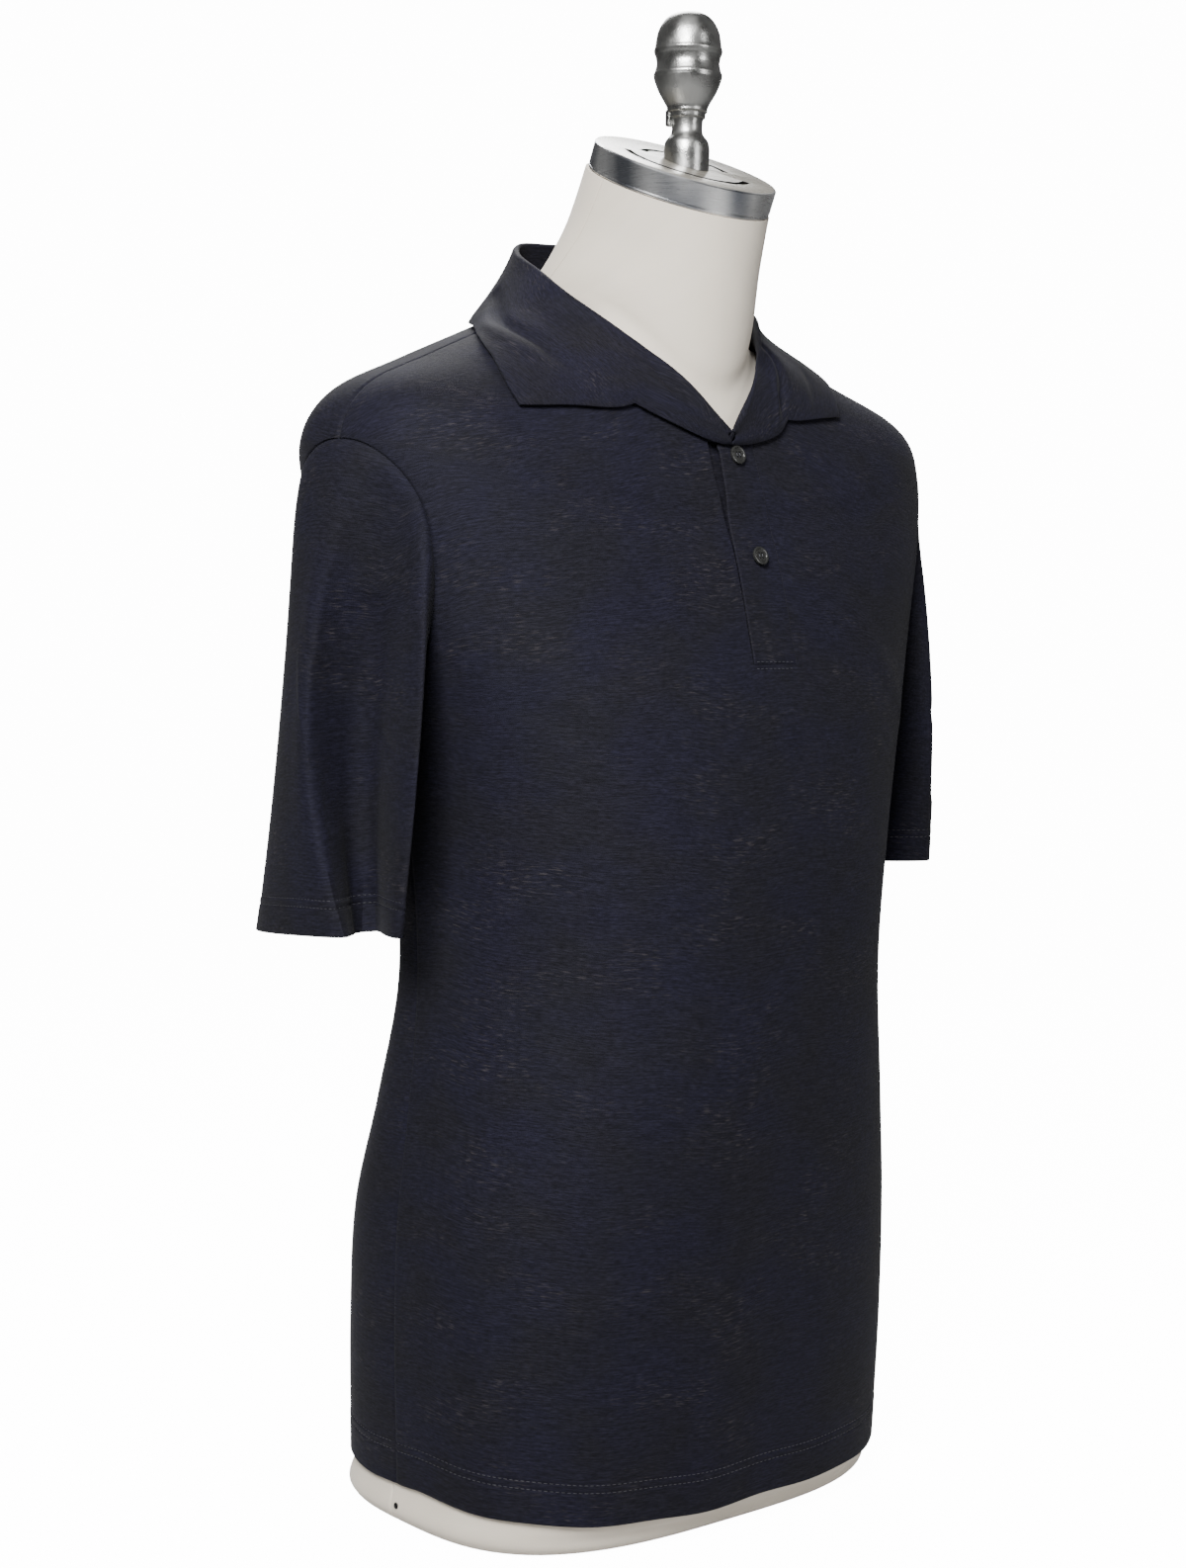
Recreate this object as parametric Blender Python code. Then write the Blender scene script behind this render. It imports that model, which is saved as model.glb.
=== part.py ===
"""A men's polo shirt in slub linen jersey, standing on a padded dress form without limbs.

Metres, +Z up. The front faces -Y and the wearer's left is +X. The origin is the middle of the
form's flat underside. The shirt's body is one surface of rings, from the level hem up over the
shoulders to the neckline. Front, back, plackets and the form itself are all taken from it.
"""
import math
from collections import namedtuple

import bmesh
import bpy
import numpy as np
from mathutils import Matrix, Vector

# ---- driving sizes, metres and degrees
CLOTH = 0.0016            # wall of the jersey
SEAM = 0.0003             # gap between neighbouring pieces
STEP = 1e-3               # step for surface normals, in ring spacings and radians

# Rings of the shirt's body, on its outer face. The side point is at +-side_x, the front and back
# points at x = 0. A square of 2 makes an ellipse and more is boxier. hollow is a dip either side
# of the collar. ease_side and ease_ends are how far the dress form lies inside the cloth at the
# sides, and at front and back.
Ring = namedtuple("Ring", "side_x side_y side_z front_y front_z back_y back_z "
                          "front_square back_square hollow ease_side ease_ends")
BODY_RINGS = {
    "hem":    Ring(0.1677, 0.006, 0.028, -0.1258, 0.020, 0.1166, 0.030, 3.00, 3.00, 0, 0.0012, 0.003),
    "seat":   Ring(0.1708, 0.006, 0.110, -0.1329, 0.102, 0.1196, 0.108, 2.80, 2.80, 0, 0.0020, 0.004),
    "hip":    Ring(0.1699, 0.006, 0.185, -0.1369, 0.182, 0.1174, 0.185, 2.70, 2.70, 0, 0.0030, 0.006),
    "high_hip": Ring(0.1623, 0.006, 0.255, -0.1425, 0.255, 0.0970, 0.255, 2.60, 2.60, 0, 0.005, 0.010),
    "waist":  Ring(0.1567, 0.006, 0.335, -0.1454, 0.335, 0.0731, 0.335, 2.50, 2.50, 0, 0.0080, 0.013),
    "rib":    Ring(0.1634, 0.006, 0.415, -0.1462, 0.415, 0.0782, 0.415, 2.50, 2.50, 0, 0.0060, 0.010),
    "underarm": Ring(0.1796, 0.006, 0.490, -0.1377, 0.485, 0.0959, 0.495, 2.60, 2.45, 0, 0.004, 0.006),
    "chest":  Ring(0.2022, 0.006, 0.548, -0.1257, 0.535, 0.1126, 0.560, 2.48, 2.45, 0, 0.0030, 0.005),
    "blade":  Ring(0.2159, 0.006, 0.605, -0.1132, 0.579, 0.1175, 0.615, 2.64, 2.45, 0.0006, 0.0042, 0.006),
    "shoulder_point": Ring(0.2228, 0.0055, 0.6473, -0.1030, 0.605, 0.1177, 0.648, 2.70, 2.45, 0.0032,
                           0.0034, 0.005),
    "shoulder_end":   Ring(0.2055, 0.0050, 0.6777, -0.0987, 0.620, 0.1080, 0.673, 3.00, 2.40, 0.0073,
                           0.0014, 0.004),
    "mid_shoulder":   Ring(0.1561, 0.0070, 0.7004, -0.0935, 0.634, 0.0980, 0.700, 2.69, 2.30, 0.0130,
                           0.0012, 0.004),
    "neckline":       Ring(0.0775, 0.0160, 0.7310, -0.0882, 0.651, 0.0780, 0.738, 2.05, 2.20, 0.0075,
                           0.0022, 0.003),
}
HOLLOW_AT = 62            # the cloth sinks in under the collar bone at this angle from the front
HOLLOW_WIDTH = 17
FRONT_FALL = 3.3          # a tilted ring drops from its side to its front with this power
BACK_FALL = 2.0
RING_NAMES = tuple(BODY_RINGS)
UNDERARM = RING_NAMES.index("underarm")
SHOULDER_POINT = RING_NAMES.index("shoulder_point")
NECKLINE = RING_NAMES.index("neckline")

# Seams, as angles round the body: 0 is the centre front, 90 the side.
SHOULDER_SEAM = 88        # the shoulder seam lies forward of the shoulder's ridge
ARMHOLE_FRONT = 17        # how far the armhole is hollowed into the front
ARMHOLE_BACK = 15         # and into the back
ARMHOLE_STEPS = 12        # points up each side of the armhole
FRONT_COLUMNS = 20
BACK_COLUMNS = 16

# A sleeve's cuff and its cloth between armhole and cuff. round is the angle: 0 is the underarm
# seam, 90 the front, 180 the top. out is the distance from the centre plane. The belly is how far
# the cloth swings from a straight line.
SleeveLine = namedtuple("SleeveLine", "round cuff_out cuff_y cuff_z belly_out belly_y")
SLEEVE_LINES = {
    "sleeve_right": (
        SleeveLine(0,   0.1810, 0.0300, 0.3620, 0.004, 0.000),
        SleeveLine(30,  0.1850, -0.0050, 0.3630, 0.006, -0.004),
        SleeveLine(60,  0.1930, -0.0290, 0.3635, 0.006, -0.006),
        SleeveLine(90,  0.2010, -0.0380, 0.3640, 0.006, -0.012),
        SleeveLine(105, 0.2050, -0.0370, 0.3640, 0.004, -0.005),
        SleeveLine(120, 0.2060, -0.0134, 0.3635, 0.000, 0.016),
        SleeveLine(135, 0.2165, -0.0125, 0.3640, 0.010, 0.028),
        SleeveLine(150, 0.2260, -0.0130, 0.3640, 0.012, 0.030),
        SleeveLine(180, 0.2290, 0.0300, 0.3610, 0.006, 0.012),
        SleeveLine(210, 0.2230, 0.0700, 0.3580, 0.002, 0.000),
        SleeveLine(240, 0.2110, 0.0980, 0.3560, 0.001, -0.008),
        SleeveLine(270, 0.2020, 0.1060, 0.3550, 0.000, -0.010),
        SleeveLine(300, 0.1930, 0.0940, 0.3565, 0.000, -0.008),
        SleeveLine(330, 0.1850, 0.0640, 0.3590, 0.002, -0.004),
    ),
    "sleeve_left": (
        SleeveLine(0,   0.1810, 0.0300, 0.3860, 0.004, 0.000),
        SleeveLine(30,  0.1860, -0.0080, 0.3870, 0.006, -0.004),
        SleeveLine(60,  0.1960, -0.0380, 0.3875, 0.006, -0.008),
        SleeveLine(90,  0.2120, -0.0540, 0.3880, 0.004, -0.010),
        SleeveLine(120, 0.2265, -0.0510, 0.3880, 0.003, -0.004),
        SleeveLine(150, 0.2370, -0.0200, 0.3880, 0.004, 0.006),
        SleeveLine(180, 0.2370, 0.0260, 0.3860, 0.004, 0.008),
        SleeveLine(210, 0.2320, 0.0680, 0.3840, 0.006, 0.000),
        SleeveLine(240, 0.2180, 0.0960, 0.3820, 0.006, -0.006),
        SleeveLine(270, 0.2040, 0.1020, 0.3810, 0.004, -0.008),
        SleeveLine(300, 0.1930, 0.0900, 0.3820, 0.000, -0.006),
        SleeveLine(330, 0.1850, 0.0620, 0.3840, 0.002, -0.002),
    ),
}
SLEEVE_ROWS = 12
SLEEVE_SPREAD = 1.15      # rows lie closer together near the armhole
SLEEVE_STANDOFF = 0.0007  # the sleeve lies this far out from the body at the armhole
SLEEVE_KICK = 0.0036      # how far the cloth first goes on outward at the shoulder

# The collar, from the centre back to the centre front: the angle of its seat on the neckline, the
# crest of its roll, and the soft crease where the leaf comes down on the shoulder, as ring and
# angle on the body and height over it.
CollarLine = namedtuple("CollarLine", "seat roll_x roll_y roll_z crease_ring crease_angle crease_lift")
COLLAR_LINES = (
    CollarLine(180, 0.0000, 0.0780, 0.7850, 12.20, 180, 0.010),
    CollarLine(150, 0.0370, 0.0660, 0.7810, 12.10, 152, 0.010),
    CollarLine(118, 0.0640, 0.0340, 0.7690, 11.90, 116, 0.010),
    CollarLine(90,  0.0735, 0.0000, 0.7545, 11.72, 88, 0.008),
    CollarLine(70,  0.0755, -0.0280, 0.7390, 11.72, 76, 0.005),
    CollarLine(53.3, 0.0615, -0.0475, 0.7230, 11.72, 62, 0.004),
    CollarLine(44.6, 0.0535, -0.0560, 0.7150, 11.80, 48, 0.005),
    CollarLine(36.0, 0.0455, -0.0635, 0.7072, 11.91, 32, 0.005),
    CollarLine(18.6, 0.0272, -0.0795, 0.6885, 12.04, 17, 0.005),
    CollarLine(1.5, 0.0012, -0.0926, 0.6590, 12.20, 3, 0.004),
)
# The leaf's outer edge at the same lines, as ring and angle on the body.
COLLAR_EDGE = {
    "right": ((11.85, 180), (11.85, 150), (11.75, 118), (11.57, 92), (11.05, 74),
              (10.40, 63.0), (10.87, 53.5), (11.54, 36.9), (11.72, 22.8), (11.98, 1.4)),
    "left": ((11.85, 180), (11.85, 150), (11.75, 118), (11.57, 92), (11.20, 73),
             (10.90, 56.3), (11.30, 44.2), (11.64, 31.4), (11.68, 21.5), (11.98, 2.0)),
}
COLLAR_TIP = 5            # lines at which the edge turns a corner
COLLAR_NOTCH = 7
COLLAR_CLOTH = 0.0013
COLLAR_FOLD = 0.0024      # radius over the roll
COLLAR_STANDOFF = 0.0009  # gap under its foot
COLLAR_EDGE_GAP = 0.0017  # gap under the leaf's edge
COLLAR_RISE = 0.0042      # the lying part of the leaf is a little higher than its edge
STAND_ROWS = 3
ROLL_STEPS = 4
FALL_ROWS = 5

PLACKET_HALF = 0.0177     # half the placket's width
PLACKET_RINGS = (6.74, 11.80)   # its bottom and its top, as rings of the body
PLACKET_LAP = 0.0015      # how far the upper band reaches past the slit
PLACKET_SET_BACK = 0.004  # the under band's free edge stays behind the upper's
PLACKET_COLUMNS = 4

BUTTON_RADIUS = 0.00575
BUTTON_THICK = 0.0022
BUTTON_DISH = 0.0005
BUTTON_HOLE = 0.0008      # radius of each of the four holes
BUTTON_HOLE_OUT = 0.0016  # and its distance from the centre
BUTTON_RINGS = (11.64, 8.17)

# The dress form. Its rings below the hem and above the neckline have no ease of their own.
FORM_RADIUS = 0.012       # round of the bottom edge
FORM_ROUND_STEPS = 3
FORM_BASE = Ring(0.1668, 0.006, 0.000, -0.1150, 0.000, 0.1180, 0.000, 3.10, 3.10, 0, 0, 0)
FORM_NECK_RINGS = (
    Ring(0.0665, 0.0120, 0.7400, -0.0770, 0.6800, 0.0670, 0.7500, 2.10, 2.10, 0, 0, 0),
    Ring(0.0640, -0.0040, 0.7560, -0.0830, 0.7120, 0.0460, 0.7680, 2.05, 2.05, 0, 0, 0),
    Ring(0.0590, -0.0220, 0.7780, -0.0880, 0.7450, 0.0300, 0.7960, 2.00, 2.00, 0, 0, 0),
    Ring(0.0560, -0.0390, 0.8060, -0.0920, 0.7835, 0.0140, 0.8285, 2.00, 2.00, 0, 0, 0),
)
CAP_TILT = 23             # the neck and its cap lean forward
CAP_RADIUS = 0.057
CAP_THICK = 0.0165
CAP_CHAMFER = 0.0012
CAP_TOP = (0.0, -0.0465, 0.8215)
CAP_SEGMENTS = 40
FINIAL_SEGMENTS = 20
# The turned knob from its foot to its top, over the cap's top: height and radius.
FINIAL_PROFILE = (
    (-0.006, 0.0135), (0.0080, 0.0140), (0.0130, 0.0130), (0.0170, 0.0100), (0.0210, 0.0092),
    (0.0270, 0.0100), (0.0300, 0.0118), (0.0350, 0.0128), (0.0430, 0.0172), (0.0500, 0.0200),
    (0.0545, 0.0207), (0.0575, 0.0200), (0.0615, 0.0195), (0.0655, 0.0205), (0.0700, 0.0203),
    (0.0780, 0.0185), (0.0850, 0.0145), (0.0885, 0.0095), (0.0900, 0.0040),
)


# ---- the body surface
def smooth(rows, at, corners=()):
    """A Catmull-Rom curve through the rows, broken at the corner rows."""
    low = min(max(int(at), 0), len(rows) - 2)
    t = at - low
    here, there = rows[low], rows[low + 1]
    before = 2 * here - there if low == 0 or low in corners else rows[low - 1]
    last = low + 2 == len(rows) or low + 1 in corners
    after = 2 * there - here if last else rows[low + 2]
    return (here + 0.5 * t * (there - before
            + t * (2 * before - 5 * here + 4 * there - after
                   + t * (3 * here - before - 3 * there + after))))


def ring_point(ring, angle, falls=(FRONT_FALL, BACK_FALL)):
    """The point of one ring at an angle in radians from the centre front."""
    across, along = math.sin(angle), math.cos(angle)
    if along > 0:
        depth, end_z = ring.side_y - ring.front_y, ring.front_z
        square, fall = ring.front_square, falls[0]
    else:
        depth, end_z = ring.back_y - ring.side_y, ring.back_z
        square, fall = ring.back_square, falls[1]
    radius = (abs(across / ring.side_x) ** square + abs(along / depth) ** square) ** (-1 / square)
    off = (math.degrees(math.acos(along)) - HOLLOW_AT) / HOLLOW_WIDTH
    radius -= ring.hollow * math.exp(-off * off)
    tilt = abs(radius * along / depth) ** fall
    return Vector((radius * across, ring.side_y - radius * along,
                   ring.side_z + (end_z - ring.side_z) * tilt))


BODY_ROWS = np.array(list(BODY_RINGS.values()))


def body_ring(at):
    return Ring(*smooth(BODY_ROWS, at))


def body(at, angle, inward=0.0):
    """The body surface at a ring number and an angle, moved in along its normal."""
    here = ring_point(body_ring(at), angle)
    if inward == 0:
        return here
    up = ring_point(body_ring(at + STEP), angle) - here
    round_ = ring_point(body_ring(at), angle + STEP) - here
    return here - round_.cross(up).normalized() * inward


def armhole_ring(turn):
    """Ring number at a turn round the armhole: 0 at the underarm and pi at the top."""
    return UNDERARM + (SHOULDER_POINT - UNDERARM) * (1 - math.cos(turn)) / 2


def armhole_angle(turn, hollow):
    """The armhole's angle round the body. A negative hollow is cut into the back."""
    middle = 90 + (SHOULDER_SEAM - 90) * (1 - math.cos(turn)) / 2
    return math.radians(middle - hollow * math.sin(turn))


def panel_rows():
    """Ring number and turn (or None) of each row of a body panel, hem to neckline."""
    rows = [(i / 2, None) for i in range(2 * UNDERARM)]
    turns = [math.pi * i / ARMHOLE_STEPS for i in range(ARMHOLE_STEPS + 1)]
    rows += [(armhole_ring(turn), turn) for turn in turns]
    upper = 2 * (NECKLINE - SHOULDER_POINT)
    rows += [(SHOULDER_POINT + i / 2, None) for i in range(1, upper + 1)]
    return rows


def panel_angles(ring, turn, front, columns):
    """Angles across one row of a panel. The front's two middle columns frame the placket."""
    hollow = ARMHOLE_FRONT if front else -ARMHOLE_BACK
    if turn is not None:
        edge = armhole_angle(turn, hollow)
    else:
        edge = math.radians(90 if ring < UNDERARM else SHOULDER_SEAM)
    gap = SEAM / 2 / body(ring, edge).x
    shares = [2 * j / columns - 1 for j in range(columns + 1)]
    if not front:
        return [math.pi - share * (math.pi - edge - gap) for share in shares]
    slit = 2 / columns
    slit_edge = slit_angle(max(ring, PLACKET_RINGS[0] - 1), PLACKET_HALF + SEAM)
    angles = []
    for share in shares:
        beyond = max(abs(share) - slit, 0) / (1 - slit)
        size = slit_edge * min(abs(share) / slit, 1) + (edge - gap - slit_edge) * beyond
        angles.append(math.copysign(size, share))
    return angles


def slit_angle(ring, half_width):
    """The angle at which the body is half_width from the centre plane."""
    row = body_ring(ring)
    return math.asin(half_width / (row.side_y - row.front_y))


# ---- meshes
def new_object(name, bm, material):
    bmesh.ops.recalc_face_normals(bm, faces=bm.faces)
    mesh = bpy.data.meshes.new(name)
    bm.to_mesh(mesh)
    bm.free()
    obj = bpy.data.objects.new(name, mesh)
    bpy.context.scene.collection.objects.link(obj)
    mesh.materials.append(material)
    mesh.shade_smooth()
    mesh.set_sharp_from_angle(angle=math.radians(40))
    return obj


def wall(name, outer, inner, material, around=False, skip=None):
    """Cloth between two equal grids of points. around joins the last column to the first, and
    skip(row, column) leaves a face out."""
    bm = bmesh.new()
    sides = []
    for grid in (outer, inner):
        verts = [[bm.verts.new(point) for point in row] for row in grid]
        faces = []
        columns = len(verts[0])
        for i in range(len(verts) - 1):
            for j in range(columns if around else columns - 1):
                if skip and skip(i, j):
                    continue
                k = (j + 1) % columns
                faces.append(bm.faces.new((verts[i][j], verts[i][k], verts[i + 1][k],
                                           verts[i + 1][j])))
        sides.append((verts, faces))
    bmesh.ops.reverse_faces(bm, faces=sides[1][1])
    partner = {}
    for row_out, row_in in zip(sides[0][0], sides[1][0]):
        partner.update(zip(row_out, row_in))
    for edge in [e for e in bm.edges if e.is_boundary and e.verts[0] in partner]:
        loop = edge.link_loops[0]
        a, b = loop.vert, loop.link_loop_next.vert
        bm.faces.new((b, a, partner[a], partner[b]))
    bmesh.ops.delete(bm, geom=[v for v in bm.verts if not v.link_faces], context="VERTS")
    return new_object(name, bm, material)


def turned(name, profile, segments, material):
    """A solid turned about Z from (radius, height) points that start and end on the axis."""
    bm = bmesh.new()
    verts = [bm.verts.new((radius, 0, height)) for radius, height in profile]
    edges = [bm.edges.new(pair) for pair in zip(verts, verts[1:])]
    bmesh.ops.spin(bm, geom=verts + edges, cent=(0, 0, 0), axis=(0, 0, 1), dvec=(0, 0, 0),
                   angle=2 * math.pi, steps=segments, use_merge=True)
    bmesh.ops.remove_doubles(bm, verts=bm.verts, dist=1e-6)
    return new_object(name, bm, material)


def finish(name, colour, roughness, metallic=0.0):
    material = bpy.data.materials.new(name)
    material.use_nodes = True
    shader = material.node_tree.nodes["Principled BSDF"]
    shader.inputs["Base Color"].default_value = (*colour, 1)
    shader.inputs["Roughness"].default_value = roughness
    shader.inputs["Metallic"].default_value = metallic
    return material


# ---- the shirt
def make_panel(name, front, columns, material):
    """The front or the back, out to the side seam, the armhole and the shoulder seam."""
    rows = panel_rows()
    outer, inner = [
        [[body(ring, angle, depth) for angle in panel_angles(ring, turn, front, columns)]
         for ring, turn in rows] for depth in (0.0, CLOTH)]

    def in_slit(i, j):
        return rows[i][0] > PLACKET_RINGS[0] - SEAM and abs(j + 0.5 - columns / 2) < 1
    return wall(name, outer, inner, material, skip=in_slit if front else None)


def sleeve_point(lines, turn, along):
    """A sleeve's outer face, on the wearer's left. turn is round it, along is 1 at the cuff."""
    turn %= 2 * math.pi
    loop = min(turn, 2 * math.pi - turn)
    hollow = ARMHOLE_FRONT if turn < math.pi else -ARMHOLE_BACK
    start = body(armhole_ring(loop), armhole_angle(loop, hollow), -SLEEVE_STANDOFF)
    rounds = [line.round for line in lines] + [360]
    degrees = math.degrees(turn)
    low = max(i for i, station in enumerate(rounds[:-1]) if station <= degrees)
    share = (degrees - rounds[low]) / (rounds[low + 1] - rounds[low])
    table = np.array(lines[-1:] + lines + lines[:2])
    line = SleeveLine(*smooth(table, low + 1 + share))
    end = Vector((line.cuff_out, line.cuff_y, line.cuff_z))
    point = start.lerp(end, along)
    point += Vector((line.belly_out, line.belly_y, 0)) * 4 * along * (1 - along)
    kick = math.exp(1 - along / 0.12) * along / 0.12 * (1 - math.cos(turn)) / 2
    return point + Vector((SLEEVE_KICK, 0, 0)) * kick


def make_sleeve(name, side, lines, material):
    columns = 2 * ARMHOLE_STEPS
    outer, inner = [], []
    for i in range(SLEEVE_ROWS + 1):
        along = (i / SLEEVE_ROWS) ** SLEEVE_SPREAD
        out_line, in_line = [], []
        for j in range(columns):
            turn = 2 * math.pi * j / columns
            here = sleeve_point(lines, turn, along)
            down = sleeve_point(lines, turn, along + STEP) - here
            around = (sleeve_point(lines, turn + 0.01, along)
                      - sleeve_point(lines, turn - 0.01, along))
            if i == 0:
                here += down.normalized() * 2 * SEAM
            inside = here - down.cross(around).normalized() * CLOTH
            out_line.append(Vector((side * here.x, here.y, here.z)))
            in_line.append(Vector((side * inside.x, inside.y, inside.z)))
        outer.append(out_line)
        inner.append(in_line)
    return wall(name, outer, inner, material, around=True)


def band_point(ring, x, lift):
    angle = math.copysign(slit_angle(ring, abs(x)), x)
    return body(ring, angle, -lift)


def make_placket(name, left, right, lift, material):
    """A band of the placket from the left x to the right x. It fills the slit on a slope: lift is
    how far it stands off the front at the left, and it is a cloth's thickness lower at the right."""
    outer, inner = [], []
    low, high = PLACKET_RINGS
    between = [ring for ring, turn in panel_rows() if low + 0.1 < ring < high - 0.1]
    for ring in [low + 0.02] + between + [high]:
        out_line, in_line = [], []
        for j in range(PLACKET_COLUMNS + 1):
            x = left + (right - left) * j / PLACKET_COLUMNS
            here = lift - (CLOTH + SEAM) * (x + PLACKET_HALF) / (2 * PLACKET_HALF)
            out_line.append(band_point(ring, x, here))
            in_line.append(band_point(ring, x, here - CLOTH))
        outer.append(out_line)
        inner.append(in_line)
    return wall(name, outer, inner, material)


def collar_section(seat, wearer_side):
    """Points across the collar's visible face at a seat angle in degrees: up the stand, over the
    roll and down the leaf. The first is the foot on the neckline."""
    low = max(i for i, line in enumerate(COLLAR_LINES[:-1]) if line.seat >= seat - 0.1)
    at = low + (COLLAR_LINES[low].seat - seat) / (COLLAR_LINES[low].seat - COLLAR_LINES[low + 1].seat)
    line = CollarLine(*smooth(np.array(COLLAR_LINES), at))
    edges = np.array(COLLAR_EDGE[wearer_side])
    edge_ring, edge_angle = smooth(edges, at, (COLLAR_TIP, COLLAR_NOTCH))
    foot = collar_foot(seat, COLLAR_CLOTH)
    crease = body(line.crease_ring, math.radians(line.crease_angle), -line.crease_lift)
    lift = COLLAR_CLOTH + COLLAR_EDGE_GAP
    edge = body(edge_ring, math.radians(edge_angle), -lift)
    lying = body((edge_ring + line.crease_ring) / 2,
                 math.radians((edge_angle + line.crease_angle) / 2), -lift - COLLAR_RISE)
    roll = Vector((line.roll_x, line.roll_y, line.roll_z))
    to_foot, to_leaf = (foot - roll).normalized(), (crease - roll).normalized()
    into = (to_foot + to_leaf).normalized()
    out = (to_leaf - to_foot).normalized()
    radius = min(COLLAR_FOLD, 0.28 * (foot - roll).length)
    turns = [math.pi * i / ROLL_STEPS for i in range(ROLL_STEPS + 1)]
    fold = [roll + radius * (into * (1 - math.sin(a)) - out * math.cos(a)) for a in turns]
    points = [foot.lerp(fold[0], i / STAND_ROWS) for i in range(STAND_ROWS)] + fold
    for i in range(1, FALL_ROWS + 1):
        t = i / FALL_ROWS
        points.append(fold[-1] * (1 - t) ** 3 + crease * 3 * t * (1 - t) ** 2
                      + lying * 3 * t ** 2 * (1 - t) + edge * t ** 3)
    return points


def collar_foot(seat, depth):
    """The collar's foot, just over the neckline, at a depth in from the shirt's face."""
    foot = body(NECKLINE, math.radians(seat), depth)
    edge = body(NECKLINE, math.radians(seat))
    up = (body(NECKLINE + 10 * STEP, math.radians(seat)) - edge).normalized()
    return foot + up * COLLAR_STANDOFF


def make_collar(material):
    """One folded strip from one front edge round the back to the other. Its hidden face lies
    between the stand and the leaf. Its columns stand on the neckline's own corners."""
    front = panel_angles(NECKLINE, None, True, FRONT_COLUMNS)[FRONT_COLUMNS // 2 + 1:]
    back = panel_angles(NECKLINE, None, False, BACK_COLUMNS)[BACK_COLUMNS // 2:-1]
    seats = [math.degrees(angle) for angle in back + front[::-1]]
    seats += [(seats[-1] + COLLAR_LINES[-1].seat) / 2, COLLAR_LINES[-1].seat]
    last = len(seats) - 1
    halves = {}
    for wearer_side, side in (("right", -1), ("left", 1)):
        visible = [collar_section(seat, wearer_side) for seat in seats]
        hidden = []
        for i, seat in enumerate(seats):
            before, after = visible[max(i - 1, 0)], visible[min(i + 1, last)]
            if i == 0:
                before = [Vector((-p.x, p.y, p.z)) for p in after]
            points = visible[i]
            line = [collar_foot(seat, 0.0)]
            for j in range(1, len(points)):
                across = points[min(j + 1, len(points) - 1)] - points[j - 1]
                normal = (after[j] - before[j]).cross(across).normalized()
                line.append(points[j] - normal * COLLAR_CLOTH)
            hidden.append(line)
        halves[side] = [[[Vector((side * p.x, p.y, p.z)) for p in line] for line in grid]
                        for grid in (visible, hidden)]
    visible, hidden = [list(reversed(halves[-1][k])) + halves[1][k][1:] for k in (0, 1)]
    return wall("collar", visible, hidden, material)


def make_button(name, ring, material):
    """A four-hole button with a dished face, lying on the upper placket."""
    rim = BUTTON_THICK / 2
    profile = ((0.0, rim - BUTTON_DISH), (BUTTON_RADIUS * 0.66, rim - BUTTON_DISH),
               (BUTTON_RADIUS * 0.80, rim), (BUTTON_RADIUS * 0.94, rim * 0.85),
               (BUTTON_RADIUS, rim * 0.2), (BUTTON_RADIUS * 0.90, -rim), (0.0, -rim))
    button = turned(name, profile, 16, material)
    cutters = bmesh.new()
    for i in range(4):
        turn = math.radians(45 + 90 * i)
        place = Matrix.Translation((BUTTON_HOLE_OUT * math.cos(turn),
                                    BUTTON_HOLE_OUT * math.sin(turn), 0))
        bmesh.ops.create_cone(cutters, cap_ends=True, segments=6, radius1=BUTTON_HOLE,
                              radius2=BUTTON_HOLE, depth=3 * BUTTON_THICK, matrix=place)
    holes = new_object(name + "_holes", cutters, material)
    holes.hide_render = True
    holes.display_type = "WIRE"
    cut = button.modifiers.new("holes", "BOOLEAN")
    cut.operation = "DIFFERENCE"
    cut.object = holes
    under = band_point(ring, 0.0, (CLOTH + SEAM) / 2)
    normal = (band_point(ring, 0.0, BUTTON_RADIUS) - band_point(ring, 0.0, 0.0)).normalized()
    place = normal.to_track_quat("Z", "Y").to_matrix().to_4x4()
    place.translation = under + normal * (BUTTON_THICK / 2 + 1.5 * SEAM)
    button.matrix_world = place
    holes.matrix_world = place
    return button


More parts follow.
